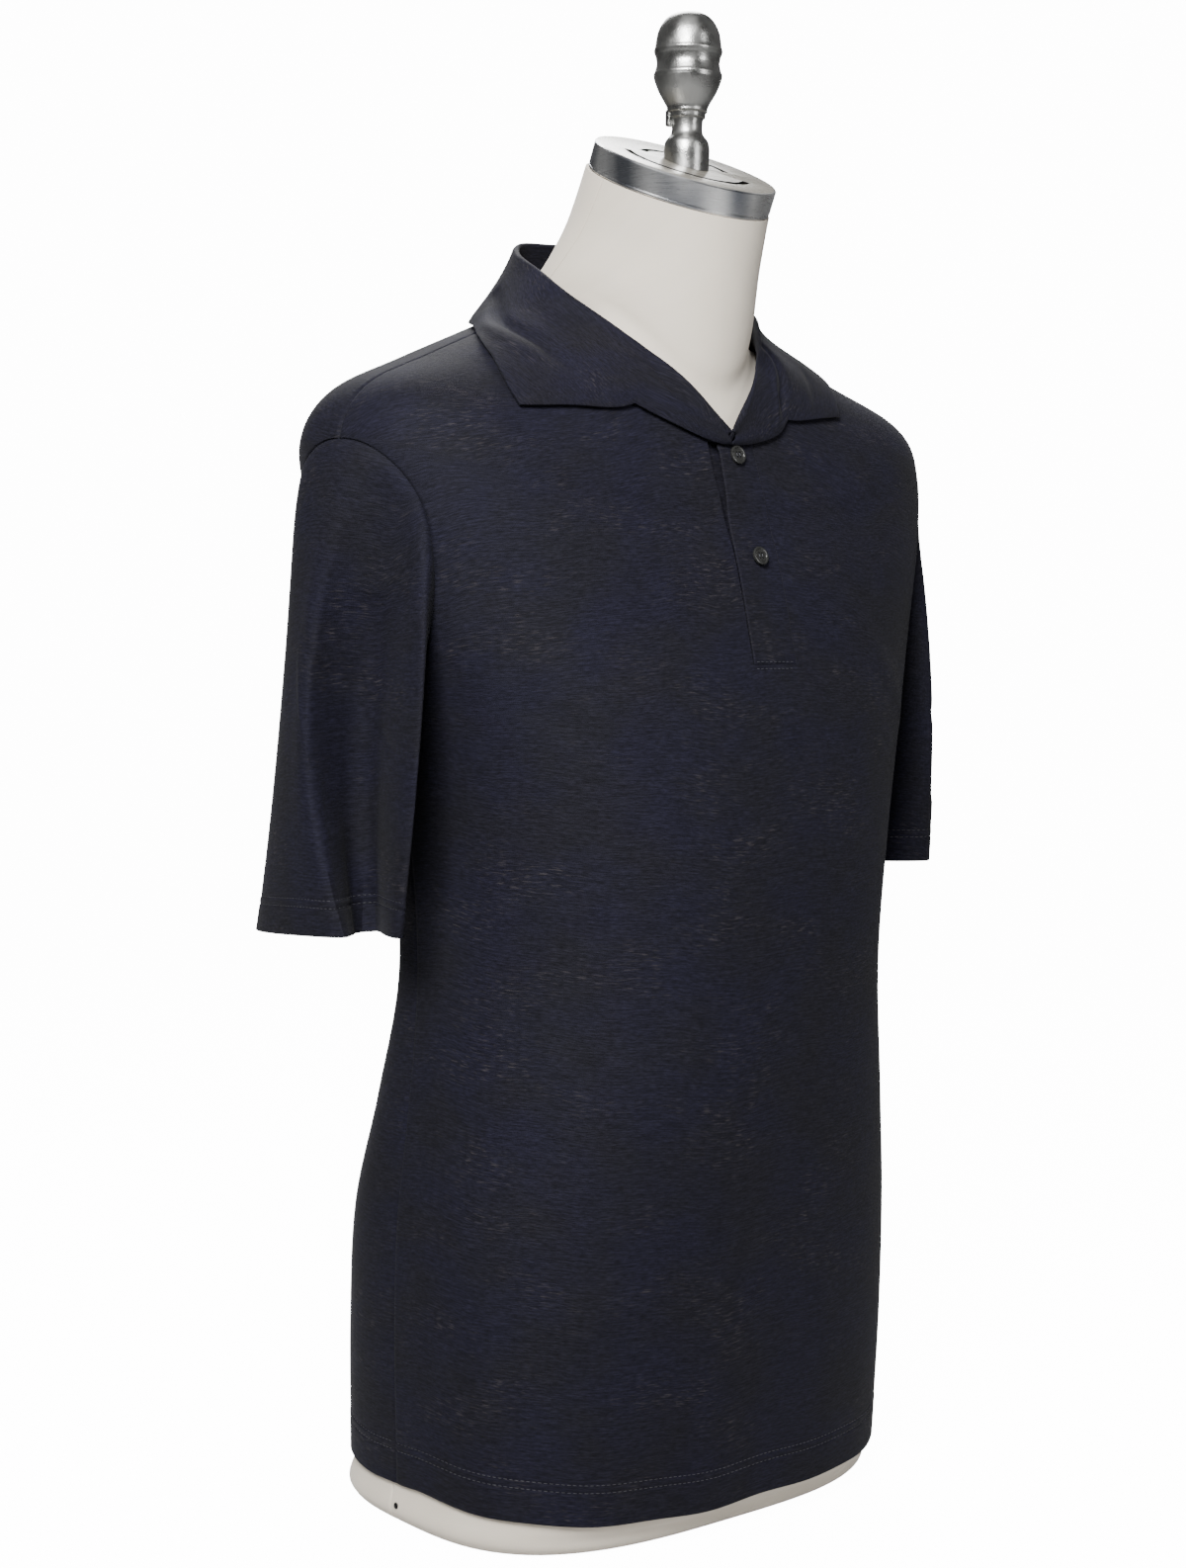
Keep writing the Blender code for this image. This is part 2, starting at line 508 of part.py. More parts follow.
# ---- the dress form
def make_form_body(material):
    """The padded torso, from its flat underside to the cut of the neck. Up to the neckline its
    rows and columns are the panels' own, so its faces lie parallel to the cloth on them."""
    rows = [row for i, row in enumerate(panel_rows()) if i % 2 == 0 or row[0] > SHOULDER_POINT]
    rings = []
    for ring, turn in rows:
        front = panel_angles(ring, turn, True, FRONT_COLUMNS)
        back = panel_angles(ring, turn, False, BACK_COLUMNS)
        row = body_ring(ring)
        line = []
        for angle in front + back[-2:0:-1]:
            ease = row.ease_side + (row.ease_ends - row.ease_side) * abs(math.cos(angle)) ** 1.5
            line.append(body(ring, angle, CLOTH + ease))
        rings.append(line)
    columns = [math.atan2(p.x, BODY_RINGS["hem"].side_y - p.y) for p in rings[0]]
    round_edge = []
    for i in range(FORM_ROUND_STEPS + 1):
        turn = math.pi / 2 * i / FORM_ROUND_STEPS
        pull, height = FORM_RADIUS * (1 - math.sin(turn)), FORM_RADIUS * (1 - math.cos(turn))
        ring = FORM_BASE._replace(
            side_x=FORM_BASE.side_x - pull, front_y=FORM_BASE.front_y + pull,
            back_y=FORM_BASE.back_y - pull, side_z=height, front_z=height, back_z=height)
        round_edge.append([ring_point(ring, a) for a in columns])
    neck = np.array(FORM_NECK_RINGS)
    last = 2 * len(neck) - 2
    for i in range(last + 1):
        # towards the top the rings become flat, parallel to the cap
        falls = [1 + (fall - 1) * (1 - i / last) for fall in (FRONT_FALL, BACK_FALL)]
        ring = Ring(*smooth(neck, i / 2))
        rings.append([ring_point(ring, a, falls) for a in columns])
    bm = bmesh.new()
    loops = [[bm.verts.new(p) for p in ring] for ring in round_edge + rings]
    for low, high in zip(loops, loops[1:]):
        for j in range(len(low)):
            k = (j + 1) % len(low)
            bm.faces.new((low[j], low[k], high[k], high[j]))
    bm.faces.new(loops[0])
    bm.faces.new(loops[-1])
    return new_object("form_body", bm, material)


def make_cap(material):
    """The round metal plate that closes the neck."""
    rim = CAP_RADIUS
    profile = ((0.0, 0.0), (rim - CAP_CHAMFER, 0.0), (rim, -CAP_CHAMFER),
               (rim, -CAP_THICK + CAP_CHAMFER / 3), (rim - CAP_CHAMFER / 3, -CAP_THICK),
               (0.0, -CAP_THICK))
    cap = turned("neck_cap", profile, CAP_SEGMENTS, material)
    cap.location = CAP_TOP
    cap.rotation_euler.x = math.radians(CAP_TILT)
    return cap


def make_finial(material):
    """The upright knob, its foot cut to the slope of the cap."""
    profile = [(0.0, FINIAL_PROFILE[0][0])]
    profile += [(radius, height) for height, radius in FINIAL_PROFILE]
    profile += [(0.0, FINIAL_PROFILE[-1][0] + 0.0005)]
    finial = turned("finial", profile, FINIAL_SEGMENTS, material)
    slope = Matrix.Rotation(math.radians(CAP_TILT), 3, "X")
    bm = bmesh.new()
    bm.from_mesh(finial.data)
    cut = bmesh.ops.bisect_plane(bm, geom=bm.verts[:] + bm.edges[:] + bm.faces[:],
                                 plane_co=slope @ Vector((0, 0, SEAM)),
                                 plane_no=slope @ Vector((0, 0, -1)), clear_outer=True)
    bmesh.ops.holes_fill(bm, edges=[e for e in cut["geom_cut"] if isinstance(e, bmesh.types.BMEdge)])
    bm.to_mesh(finial.data)
    bm.free()
    finial.location = CAP_TOP
    return finial


def main():
    for obj in list(bpy.data.objects):
        bpy.data.objects.remove(obj, do_unlink=True)
    jersey = finish("navy_linen_jersey", (0.026, 0.027, 0.042), 0.85)
    cover = finish("cream_form_cover", (0.60, 0.56, 0.50), 0.9)
    metal = finish("brushed_metal", (0.55, 0.55, 0.55), 0.35, 1.0)
    knob = finish("cast_metal", (0.38, 0.38, 0.38), 0.3, 1.0)
    button = finish("smoke_button", (0.05, 0.05, 0.055), 0.3)
    make_form_body(cover)
    make_cap(metal)
    make_finial(knob)
    make_panel("front", True, FRONT_COLUMNS, jersey)
    make_panel("back", False, BACK_COLUMNS, jersey)
    make_sleeve("sleeve_right", -1, SLEEVE_LINES["sleeve_right"], jersey)
    make_sleeve("sleeve_left", 1, SLEEVE_LINES["sleeve_left"], jersey)
    make_collar(jersey)
    make_placket("placket_upper", -PLACKET_HALF - PLACKET_LAP, PLACKET_HALF, CLOTH + SEAM, jersey)
    make_placket("placket_under", -PLACKET_HALF, PLACKET_HALF - PLACKET_SET_BACK, 0.0, jersey)
    for i, ring in enumerate(BUTTON_RINGS):
        make_button(f"button_{i + 1}", ring, button)


main()
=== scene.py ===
"""The looks of a men's polo shirt in slub linen jersey, on a padded dress form without limbs."""
import math
from collections import namedtuple

import bmesh
import bpy
import numpy as np
from mathutils import Matrix, Vector


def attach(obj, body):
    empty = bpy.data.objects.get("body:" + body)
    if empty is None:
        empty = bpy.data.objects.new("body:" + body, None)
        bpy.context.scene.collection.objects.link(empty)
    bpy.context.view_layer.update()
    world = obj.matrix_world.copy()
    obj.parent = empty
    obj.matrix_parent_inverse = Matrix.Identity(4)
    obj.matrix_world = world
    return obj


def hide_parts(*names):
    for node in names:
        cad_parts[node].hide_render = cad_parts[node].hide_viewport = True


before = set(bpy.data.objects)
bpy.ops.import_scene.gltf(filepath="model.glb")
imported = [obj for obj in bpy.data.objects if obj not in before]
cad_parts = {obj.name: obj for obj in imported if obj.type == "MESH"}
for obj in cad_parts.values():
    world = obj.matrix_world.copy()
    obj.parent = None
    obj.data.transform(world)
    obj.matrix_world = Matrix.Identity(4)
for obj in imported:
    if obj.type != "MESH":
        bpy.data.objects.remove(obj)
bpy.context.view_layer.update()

# ---- Camera
# It stands 1.6 m off the wearer's right front at belt height, looks slightly down and is rolled a
# little to one side.
CAMERA_AT = (-1.0576, -1.2166, 0.558)
CAMERA_HEADING = -40.273                  # degrees about Z from looking along +Y
CAMERA_DOWN = 4.1
CAMERA_ROLL = 0.9


def link_new(name, data):
    """A new object with this data, in the scene."""
    obj = bpy.data.objects.new(name, data)
    bpy.context.scene.collection.objects.link(obj)
    return obj


camera_data = bpy.data.cameras.new("camera")
camera_data.lens = 59.016
camera_data.sensor_width = 36.0
camera = link_new("camera", camera_data)
camera.matrix_world = (Matrix.Translation(CAMERA_AT)
                       @ Matrix.Rotation(math.radians(CAMERA_HEADING), 4, "Z")
                       @ Matrix.Rotation(math.radians(90 - CAMERA_DOWN), 4, "X")
                       @ Matrix.Rotation(math.radians(CAMERA_ROLL), 4, "Z"))
bpy.context.scene.camera = camera

# ---- Studio
# A white paper sweep is flat under the form and curves up behind it. It glows for the camera alone,
# not for the form. The main soft box stands left of the camera, weak ones at its right and
# overhead, and one behind the form for the back. A dim pale room fills the rest.
SWEEP_BACK = 2.6                          # from the form to where the sweep starts to rise
SWEEP_RADIUS = 1.6
SWEEP_HALF_WIDTH = 6.0
SWEEP_START, SWEEP_LENGTH = -3.5, 9.0
SWEEP_GLOW = 14.0
ROOM_BRIGHT, ROOM_DIM = 0.15, 0.09
BOX_SPREAD = 110                          # degrees


def put(material, kind, sockets=None, **settings):
    """Adds a shader node. sockets gives values, or sockets to link, by input name."""
    node = material.node_tree.nodes.new("ShaderNode" + kind)
    for key, value in settings.items():
        setattr(node, key, value)
    for key, value in (sockets or {}).items():
        if isinstance(value, bpy.types.NodeSocket):
            material.node_tree.links.new(value, node.inputs[key])
        else:
            node.inputs[key].default_value = value
    return node


def new_finish(name, colour, roughness, metallic=0.0):
    """A material with one Principled shader, and that shader."""
    material = bpy.data.materials.new(name)
    material.use_nodes = True
    shader = material.node_tree.nodes["Principled BSDF"]
    shader.inputs["Base Color"].default_value = (*colour, 1)
    shader.inputs["Roughness"].default_value = roughness
    shader.inputs["Metallic"].default_value = metallic
    return material, shader


def join(output, socket):
    socket.id_data.links.new(output, socket)


def vector_maths(material, operation, first, second, output="Value"):
    return put(material, "VectorMath", {0: first, 1: second}, operation=operation).outputs[output]


def product(material, first, second):
    return put(material, "Math", {0: first, 1: second}, operation="MULTIPLY").outputs[0]


def roughen(material, shader, height, strength, distance):
    """Bumps the surface by a pattern of heights."""
    bump = put(material, "Bump", {"Height": height, "Strength": strength, "Distance": distance})
    join(bump.outputs[0], shader.inputs["Normal"])


def add_object(name, bm, material):
    mesh = bpy.data.meshes.new(name)
    bm.to_mesh(mesh)
    bm.free()
    mesh.materials.append(material)
    mesh.shade_smooth()
    return link_new(name, mesh)


paper, paper_shader = new_finish("white_paper", (0.50, 0.50, 0.50), 0.9)
paper_grain = put(paper, "TexNoise", {"Scale": 30.0, "Detail": 3.0})
roughen(paper, paper_shader, paper_grain.outputs["Fac"], 0.05, 0.001)
paper_shader.inputs["Emission Color"].default_value = (1, 1, 1, 1)
own_light = product(paper, put(paper, "LightPath").outputs["Is Camera Ray"], SWEEP_GLOW)
join(own_light, paper_shader.inputs["Emission Strength"])
bm = bmesh.new()
bmesh.ops.create_grid(bm, x_segments=1, y_segments=40, size=1.0)
for vert in bm.verts:
    along = (vert.co.y + 1) / 2 * SWEEP_LENGTH + SWEEP_START
    rise = max(along - SWEEP_BACK, 0) / SWEEP_RADIUS
    turn = min(rise, math.pi / 2)
    vert.co = Vector((vert.co.x * SWEEP_HALF_WIDTH, min(along, SWEEP_BACK) + SWEEP_RADIUS * math.sin(turn),
                      SWEEP_RADIUS * (1 - math.cos(turn) + max(rise - math.pi / 2, 0))))
bmesh.ops.transform(bm, verts=bm.verts, matrix=Matrix.Rotation(math.radians(CAMERA_HEADING), 4, "Z"))
sweep = add_object("paper_sweep", bm, paper)

world = bpy.data.worlds.new("pale_room")
bpy.context.scene.world = world
world.use_nodes = True
toward_camera = vector_maths(world, "DOT_PRODUCT", put(world, "TexCoord").outputs["Generated"],
                             Vector(CAMERA_AT).normalized())
room = put(world, "MapRange", {"Value": toward_camera, "From Min": -0.2, "From Max": 0.9,
                               "To Min": ROOM_BRIGHT, "To Max": ROOM_DIM}, interpolation_type="SMOOTHSTEP")
join(room.outputs[0], world.node_tree.nodes["Background"].inputs["Strength"])
world.node_tree.nodes["Background"].inputs["Color"].default_value = (1.0, 1.0, 1.0, 1)

SoftBox = namedtuple("SoftBox", "name x y z width height watts")
SOFT_BOXES = (
    SoftBox("box_left", -1.50, -1.10, 1.75, 0.9, 0.9, 60.0),
    SoftBox("box_right", 0.5, -2.3, 1.2, 0.6, 1.4, 8.0),
    SoftBox("box_top", -0.4, -0.5, 3.0, 1.6, 1.6, 2.0),
    SoftBox("box_back", 1.2, 1.7, 2.5, 1.2, 1.2, 30.0),
)
LIT = Vector((0, 0, 0.65))                # the boxes face the form's chest
for box in SOFT_BOXES:
    light = bpy.data.lights.new(box.name, "AREA")
    light.shape = "RECTANGLE"
    light.size, light.size_y = box.width, box.height
    light.energy = box.watts
    light.spread = math.radians(BOX_SPREAD)
    lamp = link_new(box.name, light)
    lamp.location = (box.x, box.y, box.z)
    lamp.rotation_euler = (LIT - lamp.location).to_track_quat("-Z", "Y").to_euler()

# ---- Dress form
# A moulded men's torso, padded and covered in cream cotton. It fills the shirt closely, and its
# rings are the shirt's own, drawn in. The cut base stands on the floor.
Ring = namedtuple("Ring", "side_x side_y side_z front_y front_z back_y back_z "
                          "front_square back_square hollow ease_side ease_ends")
SHIRT_RINGS = [Ring(*row) for row in (
    (0.1677, 0.0060, 0.0280, -0.1258, 0.020, 0.1166, 0.030, 3.00, 3.00, 0.0000, 0.0012, 0.003),
    (0.1708, 0.0060, 0.1100, -0.1329, 0.102, 0.1196, 0.108, 2.80, 2.80, 0.0000, 0.0020, 0.004),
    (0.1699, 0.0060, 0.1850, -0.1369, 0.182, 0.1174, 0.185, 2.70, 2.70, 0.0000, 0.0030, 0.006),
    (0.1623, 0.0060, 0.2550, -0.1425, 0.255, 0.0970, 0.255, 2.60, 2.60, 0.0000, 0.0050, 0.010),
    (0.1567, 0.0060, 0.3350, -0.1454, 0.335, 0.0731, 0.335, 2.50, 2.50, 0.0000, 0.0080, 0.013),
    (0.1634, 0.0060, 0.4150, -0.1462, 0.415, 0.0782, 0.415, 2.50, 2.50, 0.0000, 0.0060, 0.010),
    (0.1796, 0.0060, 0.4900, -0.1377, 0.485, 0.0959, 0.495, 2.60, 2.45, 0.0000, 0.0040, 0.006),
    (0.2022, 0.0060, 0.5480, -0.1257, 0.535, 0.1126, 0.560, 2.48, 2.45, 0.0000, 0.0030, 0.005),
    (0.2159, 0.0060, 0.6050, -0.1132, 0.579, 0.1175, 0.615, 2.64, 2.45, 0.0006, 0.0042, 0.006),
    (0.2228, 0.0055, 0.6473, -0.1030, 0.605, 0.1177, 0.648, 2.70, 2.45, 0.0032, 0.0034, 0.005),
    (0.2055, 0.0050, 0.6777, -0.0987, 0.620, 0.1080, 0.673, 3.00, 2.40, 0.0073, 0.0014, 0.004),
    (0.1561, 0.0070, 0.7004, -0.0935, 0.634, 0.0980, 0.700, 2.69, 2.30, 0.0130, 0.0012, 0.004),
    (0.0775, 0.0160, 0.7310, -0.0882, 0.651, 0.0780, 0.738, 2.05, 2.20, 0.0075, 0.0022, 0.003),
)]
UNDERARM, SHOULDER_POINT, NECKLINE = 6, 9, 12
HOLLOW_AT, HOLLOW_WIDTH = 62, 17          # degrees from the centre front
FALLS = (3.3, 2.0)                        # how a tilted ring drops to its front and its back
CLOTH = 0.0016
STEP = 1e-4
FORM_BASE = Ring(0.1668, 0.006, 0.000, -0.1150, 0.000, 0.1180, 0.000, 3.10, 3.10, 0, 0, 0)
FORM_RADIUS = 0.012                       # round of the bottom edge
COVER_SEAM, COVER_SEAM_DEPTH = 92.5, 0.0009   # the cover's side seams, degrees from the front
COVER_SEAM_WIDTH, SEAM_CLEAR = 0.30, 1.6  # degrees, the second for the columns set close to a seam
FORM_COLUMNS, FORM_ROWS_BETWEEN = 144, 3
EDGE_CRISP = 50                           # degrees past which an edge is left sharp
SEAM_COLUMNS = (-1.0, -0.55, -0.3, -0.12, 0, 0.12, 0.3, 0.55, 1.0)
FORM_NECK_RINGS = [Ring(*row) for row in (
    (0.0665, 0.0120, 0.7400, -0.0770, 0.6800, 0.0670, 0.7500, 2.10, 2.10, 0, 0, 0),
    (0.0640, -0.0040, 0.7560, -0.0830, 0.7120, 0.0460, 0.7680, 2.05, 2.05, 0, 0, 0),
    (0.0590, -0.0220, 0.7780, -0.0880, 0.7450, 0.0300, 0.7960, 2.00, 2.00, 0, 0, 0),
    (0.0575, -0.0390, 0.8060, -0.0930, 0.7835, 0.0150, 0.8285, 2.00, 2.00, 0, 0, 0),
)]


def curve(rows, at, corners=()):
    """A smooth curve through table rows, at an array of row numbers, broken at corner rows."""
    rows = np.asarray(rows, float)
    at = np.asarray(at, float)
    last = len(rows) - 2
    low = np.clip(np.floor(at).astype(int), 0, last)
    t = (at - low)[..., None]
    here, there = rows[low], rows[low + 1]
    starts = ((low == 0) | np.isin(low, corners))[..., None]
    ends = ((low == last) | np.isin(low + 1, corners))[..., None]
    before = np.where(starts, 2 * here - there, rows[np.maximum(low - 1, 0)])
    after = np.where(ends, 2 * there - here, rows[np.minimum(low + 2, last + 1)])
    return here + 0.5 * t * (there - before + t * (2 * before - 5 * here + 4 * there - after
                                                   + t * (3 * here - before - 3 * there + after)))


def ring_points(rings, angle, falls=FALLS):
    """Points of rings at angles in radians from the centre front."""
    ring = Ring(*np.moveaxis(np.asarray(rings, float), -1, 0))
    across, along = np.sin(angle), np.cos(angle)
    front = along > 0
    depth = np.where(front, ring.side_y - ring.front_y, ring.back_y - ring.side_y)
    end_z = np.where(front, ring.front_z, ring.back_z)
    square = np.where(front, ring.front_square, ring.back_square)
    fall = np.where(front, falls[0], falls[1])
    radius = (np.abs(across / ring.side_x) ** square + np.abs(along / depth) ** square) ** (-1 / square)
    off = (np.degrees(np.arccos(np.clip(along, -1, 1))) - HOLLOW_AT) / HOLLOW_WIDTH
    radius = radius - ring.hollow * np.exp(-off * off)
    tilt = np.abs(radius * along / depth) ** fall
    return np.stack((radius * across, ring.side_y - radius * along,
                     ring.side_z + (end_z - ring.side_z) * tilt), -1)


def unit(vectors):
    return vectors / np.linalg.norm(vectors, axis=-1, keepdims=True)


def shirt(at, angle, lift=0.0):
    """The shirt's face at ring numbers and angles, moved out along its normal by lift."""
    at, angle, lift = np.broadcast_arrays(at, angle, lift)
    here = ring_points(curve(SHIRT_RINGS, at), angle)
    up = ring_points(curve(SHIRT_RINGS, at + STEP), angle) - here
    around = ring_points(curve(SHIRT_RINGS, at), angle + STEP) - here
    return here + unit(np.cross(around, up)) * lift[..., None]


def weave_grid(name, points, material, flat=None, cut=None, tube=False):
    """A sheet of quads whose rows and columns stand at the points. Its UV map holds the cloth's
    own flat lengths in metres. cut marks faces that are left out, and tube welds the side edges."""
    rows, columns = points.shape[:2]
    bm = bmesh.new()
    bmesh.ops.create_grid(bm, x_segments=columns - 1, y_segments=rows - 1, size=0.5)
    if cut is not None:
        gone = []
        for face in bm.faces:
            middle = face.calc_center_median()
            if cut[int((middle.y + 0.5) * (rows - 1)), int((middle.x + 0.5) * (columns - 1))]:
                gone.append(face)
        bmesh.ops.delete(bm, geom=gone, context="FACES")
    obj = add_object(name, bm, material)
    mesh = obj.data
    unit_square = np.empty(len(mesh.vertices) * 3)
    mesh.vertices.foreach_get("co", unit_square)
    unit_square = unit_square.reshape(-1, 3) + 0.5
    i = np.rint(unit_square[:, 1] * (rows - 1)).astype(int)
    j = np.rint(unit_square[:, 0] * (columns - 1)).astype(int)
    mesh.vertices.foreach_set("co", points[i, j].ravel())
    if flat is None:
        flat = flat_lengths(points)
    corners = np.empty(len(mesh.loops), int)
    mesh.loops.foreach_get("vertex_index", corners)
    mesh.uv_layers.new(name="cloth").data.foreach_set("uv", flat[i, j][corners].ravel())
    mesh.update()
    if tube:
        bm = bmesh.new()
        bm.from_mesh(mesh)
        bmesh.ops.remove_doubles(bm, verts=bm.verts, dist=1e-6)
        bm.to_mesh(mesh)
        bm.free()
        mesh.shade_smooth()
    return obj


def flat_lengths(points):
    """Lengths along the rows from the middle column, and up the columns from the first row."""
    across = np.zeros(points.shape[:2])
    across[:, 1:] = np.cumsum(np.linalg.norm(np.diff(points, axis=1), axis=-1), axis=1)
    across -= across[:, points.shape[1] // 2][:, None]
    up = np.zeros(points.shape[:2])
    up[1:] = np.cumsum(np.linalg.norm(np.diff(points, axis=0), axis=-1), axis=0)
    return np.stack((across, up), -1)


def form_points():
    """Rows of the form from the base's round edge to the cut of the neck. More columns stand at
    the cover's side seams, which sink in."""
    seams = np.radians((COVER_SEAM, 360 - COVER_SEAM))
    angle = np.linspace(0, 2 * math.pi, FORM_COLUMNS + 1)
    angle = angle[(np.abs(angle[:, None] - seams) > np.radians(SEAM_CLEAR)).all(axis=1)]
    angle = np.sort(np.concatenate((angle, *(seam + np.radians(SEAM_COLUMNS) for seam in seams))))
    rows = []
    for turn in np.linspace(0, math.pi / 2, 4):
        pull, height = FORM_RADIUS * (1 - math.sin(turn)), FORM_RADIUS * (1 - math.cos(turn))
        ring = FORM_BASE._replace(side_x=FORM_BASE.side_x - pull, front_y=FORM_BASE.front_y + pull,
                                  back_y=FORM_BASE.back_y - pull, side_z=height, front_z=height,
                                  back_z=height)
        rows.append(ring_points(ring, angle))
    for at in np.arange(0, NECKLINE + 0.1, 0.5):
        row = Ring(*curve(SHIRT_RINGS, at))
        ease = row.ease_side + (row.ease_ends - row.ease_side) * np.abs(np.cos(angle)) ** 1.5
        rows.append(shirt(at, angle, -CLOTH - ease))
    last = 2 * len(FORM_NECK_RINGS) - 2
    for i in range(last + 1):
        falls = [1 + (fall - 1) * (1 - i / last) for fall in FALLS]
        rows.append(ring_points(curve(FORM_NECK_RINGS, i / 2), angle, falls))
    rows = np.array(rows)
    at = np.linspace(0, len(rows) - 1, FORM_ROWS_BETWEEN * (len(rows) - 1) + 1)
    points = curve(rows.reshape(len(rows), -1), at).reshape(len(at), len(angle), 3)
    off_seam = np.abs(angle[:, None] - seams).min(axis=1) / math.radians(COVER_SEAM_WIDTH)
    middle = points.mean(axis=1, keepdims=True)
    return points - unit(points - middle) * (COVER_SEAM_DEPTH * np.exp(-off_seam ** 2))[None, :, None]


def noise(material, at, scale, detail=2.0, dimensions="3D"):
    """A pattern from 0 to 1. scale is repeats to a metre, or a tuple with one for each axis."""
    if isinstance(scale, tuple):
        at = put(material, "Mapping", {"Vector": at, "Scale": scale}).outputs[0]
        scale = 1.0
    return put(material, "TexNoise", {"Vector": at, "Scale": scale, "Detail": detail},
               noise_dimensions=dimensions).outputs["Fac"]


def blend(material, share, low, high):
    return put(material, "Mix", {0: share, 6: low, 7: high}, data_type="RGBA").outputs[2]


cover, cover_shader = new_finish("cream_cotton_cover", (0.53, 0.48, 0.41), 0.92)
cover_uv = put(cover, "UVMap", uv_map="cloth").outputs["UV"]
cover_tone = blend(cover, noise(cover, cover_uv, 28.0, 4.0), (0.48, 0.430, 0.355, 1), (0.545, 0.490, 0.412, 1))
join(cover_tone, cover_shader.inputs["Base Color"])
roughen(cover, cover_shader, noise(cover, cover_uv, 900.0), 0.25, 0.0004)
cover_shader.inputs["Sheen Weight"].default_value = 0.15

form = weave_grid("form_padded_body", form_points(), cover, tube=True)
bm = bmesh.new()
bm.from_mesh(form.data)
bmesh.ops.holes_fill(bm, edges=[edge for edge in bm.edges if edge.is_boundary], sides=0)
bmesh.ops.recalc_face_normals(bm, faces=bm.faces)
bm.to_mesh(form.data)
bm.free()
form.data.set_sharp_from_angle(angle=math.radians(EDGE_CRISP))
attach(form, "root")
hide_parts("form_body")

# ---- Cover tack
# A small blacked steel tack beside the cover's side seam on the wearer's right. It is driven
# through the cover into the foot of the form, and its low round head shows.
TACK_AT, TACK_RADIUS = (-0.1668, 0.0075, 0.013), 0.0020


def own_place(material):
    return put(material, "TexCoord").outputs["Object"]


tack_metal, tack_shader = new_finish("black_tack_steel", (0.02, 0.02, 0.02), 0.25, 1.0)
roughen(tack_metal, tack_shader, noise(tack_metal, own_place(tack_metal), 900.0), 0.2, 0.0002)
bm = bmesh.new()
bmesh.ops.create_uvsphere(bm, u_segments=16, v_segments=10, radius=TACK_RADIUS,
                          matrix=Matrix.Translation(TACK_AT) @ Matrix.Diagonal((0.5, 1, 1, 1)))
tack = add_object("cover_tack", bm, tack_metal)
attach(tack, "root")

# ---- Neck plate
# A turned aluminium plate closes the neck. Its rim is brushed, with a thin lip at its foot, and
# curved slots are cast in its top.
PLATE_TILT = 23
PLATE_TOP = (0.0, -0.0465, 0.8215)
PLATE_RADIUS, PLATE_THICK = 0.057, 0.0165
PLATE_PLACE = Matrix.Translation(PLATE_TOP) @ Matrix.Rotation(math.radians(PLATE_TILT), 4, "X")
SLOT_WIDTH, SLOT_DEPTH = 0.0046, 0.0030
CUT_CRISP = 35                            # degrees past which a cut piece's edge is left sharp
Slot = namedtuple("Slot", "radius start sweep")     # degrees round the plate from the wearer's left
SLOTS = (Slot(0.0375, 152, 164), Slot(0.0275, -14, 146))


def rescale(material, value, low, high, bottom=0.0, top=1.0):
    """Takes low to bottom and high to top, and holds the value there beyond them."""
    return put(material, "MapRange", {"Value": value, "From Min": low, "From Max": high,
                                      "To Min": bottom, "To Max": top}).outputs[0]


def bake(piece, sharp):
    """Turns the piece's modifiers into mesh, with edges sharper than some degrees left crisp."""
    solid = bpy.data.meshes.new_from_object(piece.evaluated_get(bpy.context.evaluated_depsgraph_get()))
    piece.modifiers.clear()
    piece.data = solid
    solid.set_sharp_from_angle(angle=math.radians(sharp))


def cut_out(piece, bm):
    """Cuts the closed shapes in bm out of the piece."""
    cutter = add_object("cutter", bm, piece.data.materials[0])
    cut = piece.modifiers.new("cut", "BOOLEAN")
    cut.operation = "DIFFERENCE"
    cut.object = cutter
    bake(piece, CUT_CRISP)
    bpy.data.objects.remove(cutter, do_unlink=True)


def turn_profile(profile, segments):
    """A solid of revolution about Z from (radius, height) points, closed on the axis."""
    bm = bmesh.new()
    verts = [bm.verts.new((radius, 0, height)) for radius, height in profile]
    edges = [bm.edges.new(pair) for pair in zip(verts, verts[1:])]
    bmesh.ops.spin(bm, geom=verts + edges, cent=(0, 0, 0), axis=(0, 0, 1), dvec=(0, 0, 0),
                   angle=2 * math.pi, steps=segments, use_merge=True)
    bmesh.ops.remove_doubles(bm, verts=bm.verts, dist=1e-6)
    bmesh.ops.recalc_face_normals(bm, faces=bm.faces)
    return bm


brushed, brushed_shader = new_finish("brushed_aluminium", (0.50, 0.50, 0.51), 0.32, 1.0)
brushed_at = own_place(brushed)
plate_axis = PLATE_PLACE.to_3x3() @ Vector((0, 0, 1))
facing = vector_maths(brushed, "DOT_PRODUCT", put(brushed, "TexCoord").outputs["Normal"], plate_axis)
from_top = vector_maths(brushed, "SUBTRACT", brushed_at, PLATE_TOP, "Vector")
height = vector_maths(brushed, "DOT_PRODUCT", from_top, plate_axis)
reach = vector_maths(brushed, "DISTANCE", brushed_at, PLATE_TOP)
on_top = rescale(brushed, facing, 0.80, 0.97)
below_top, off_rim = rescale(brushed, height, -0.0001, -0.0005), rescale(brushed, reach, 0.050, 0.049)
# The cut slots' floors and walls are coloured near-black: painted shade in the recesses.
painted_slot_shade = product(brushed, below_top, off_rim)
# Paler and darker bands round the rim are painted reflections of the studio, not a change in the metal itself.
painted_reflection_bands = rescale(brushed, noise(brushed, brushed_at, (48, 48, 5), 0.0), 0.34, 0.66)
rim_tone_and_painted_reflections = blend(brushed, painted_reflection_bands, (0.24, 0.25, 0.28, 1), (0.86, 0.86, 0.86, 1))
top_tone = blend(brushed, on_top, rim_tone_and_painted_reflections, (0.20, 0.187, 0.160, 1))
plate_tone = blend(brushed, painted_slot_shade, top_tone, (0.030, 0.028, 0.024, 1))
brushed_lines = noise(brushed, brushed_at, (60, 60, 2500), 3.0)
join(plate_tone, brushed_shader.inputs["Base Color"])
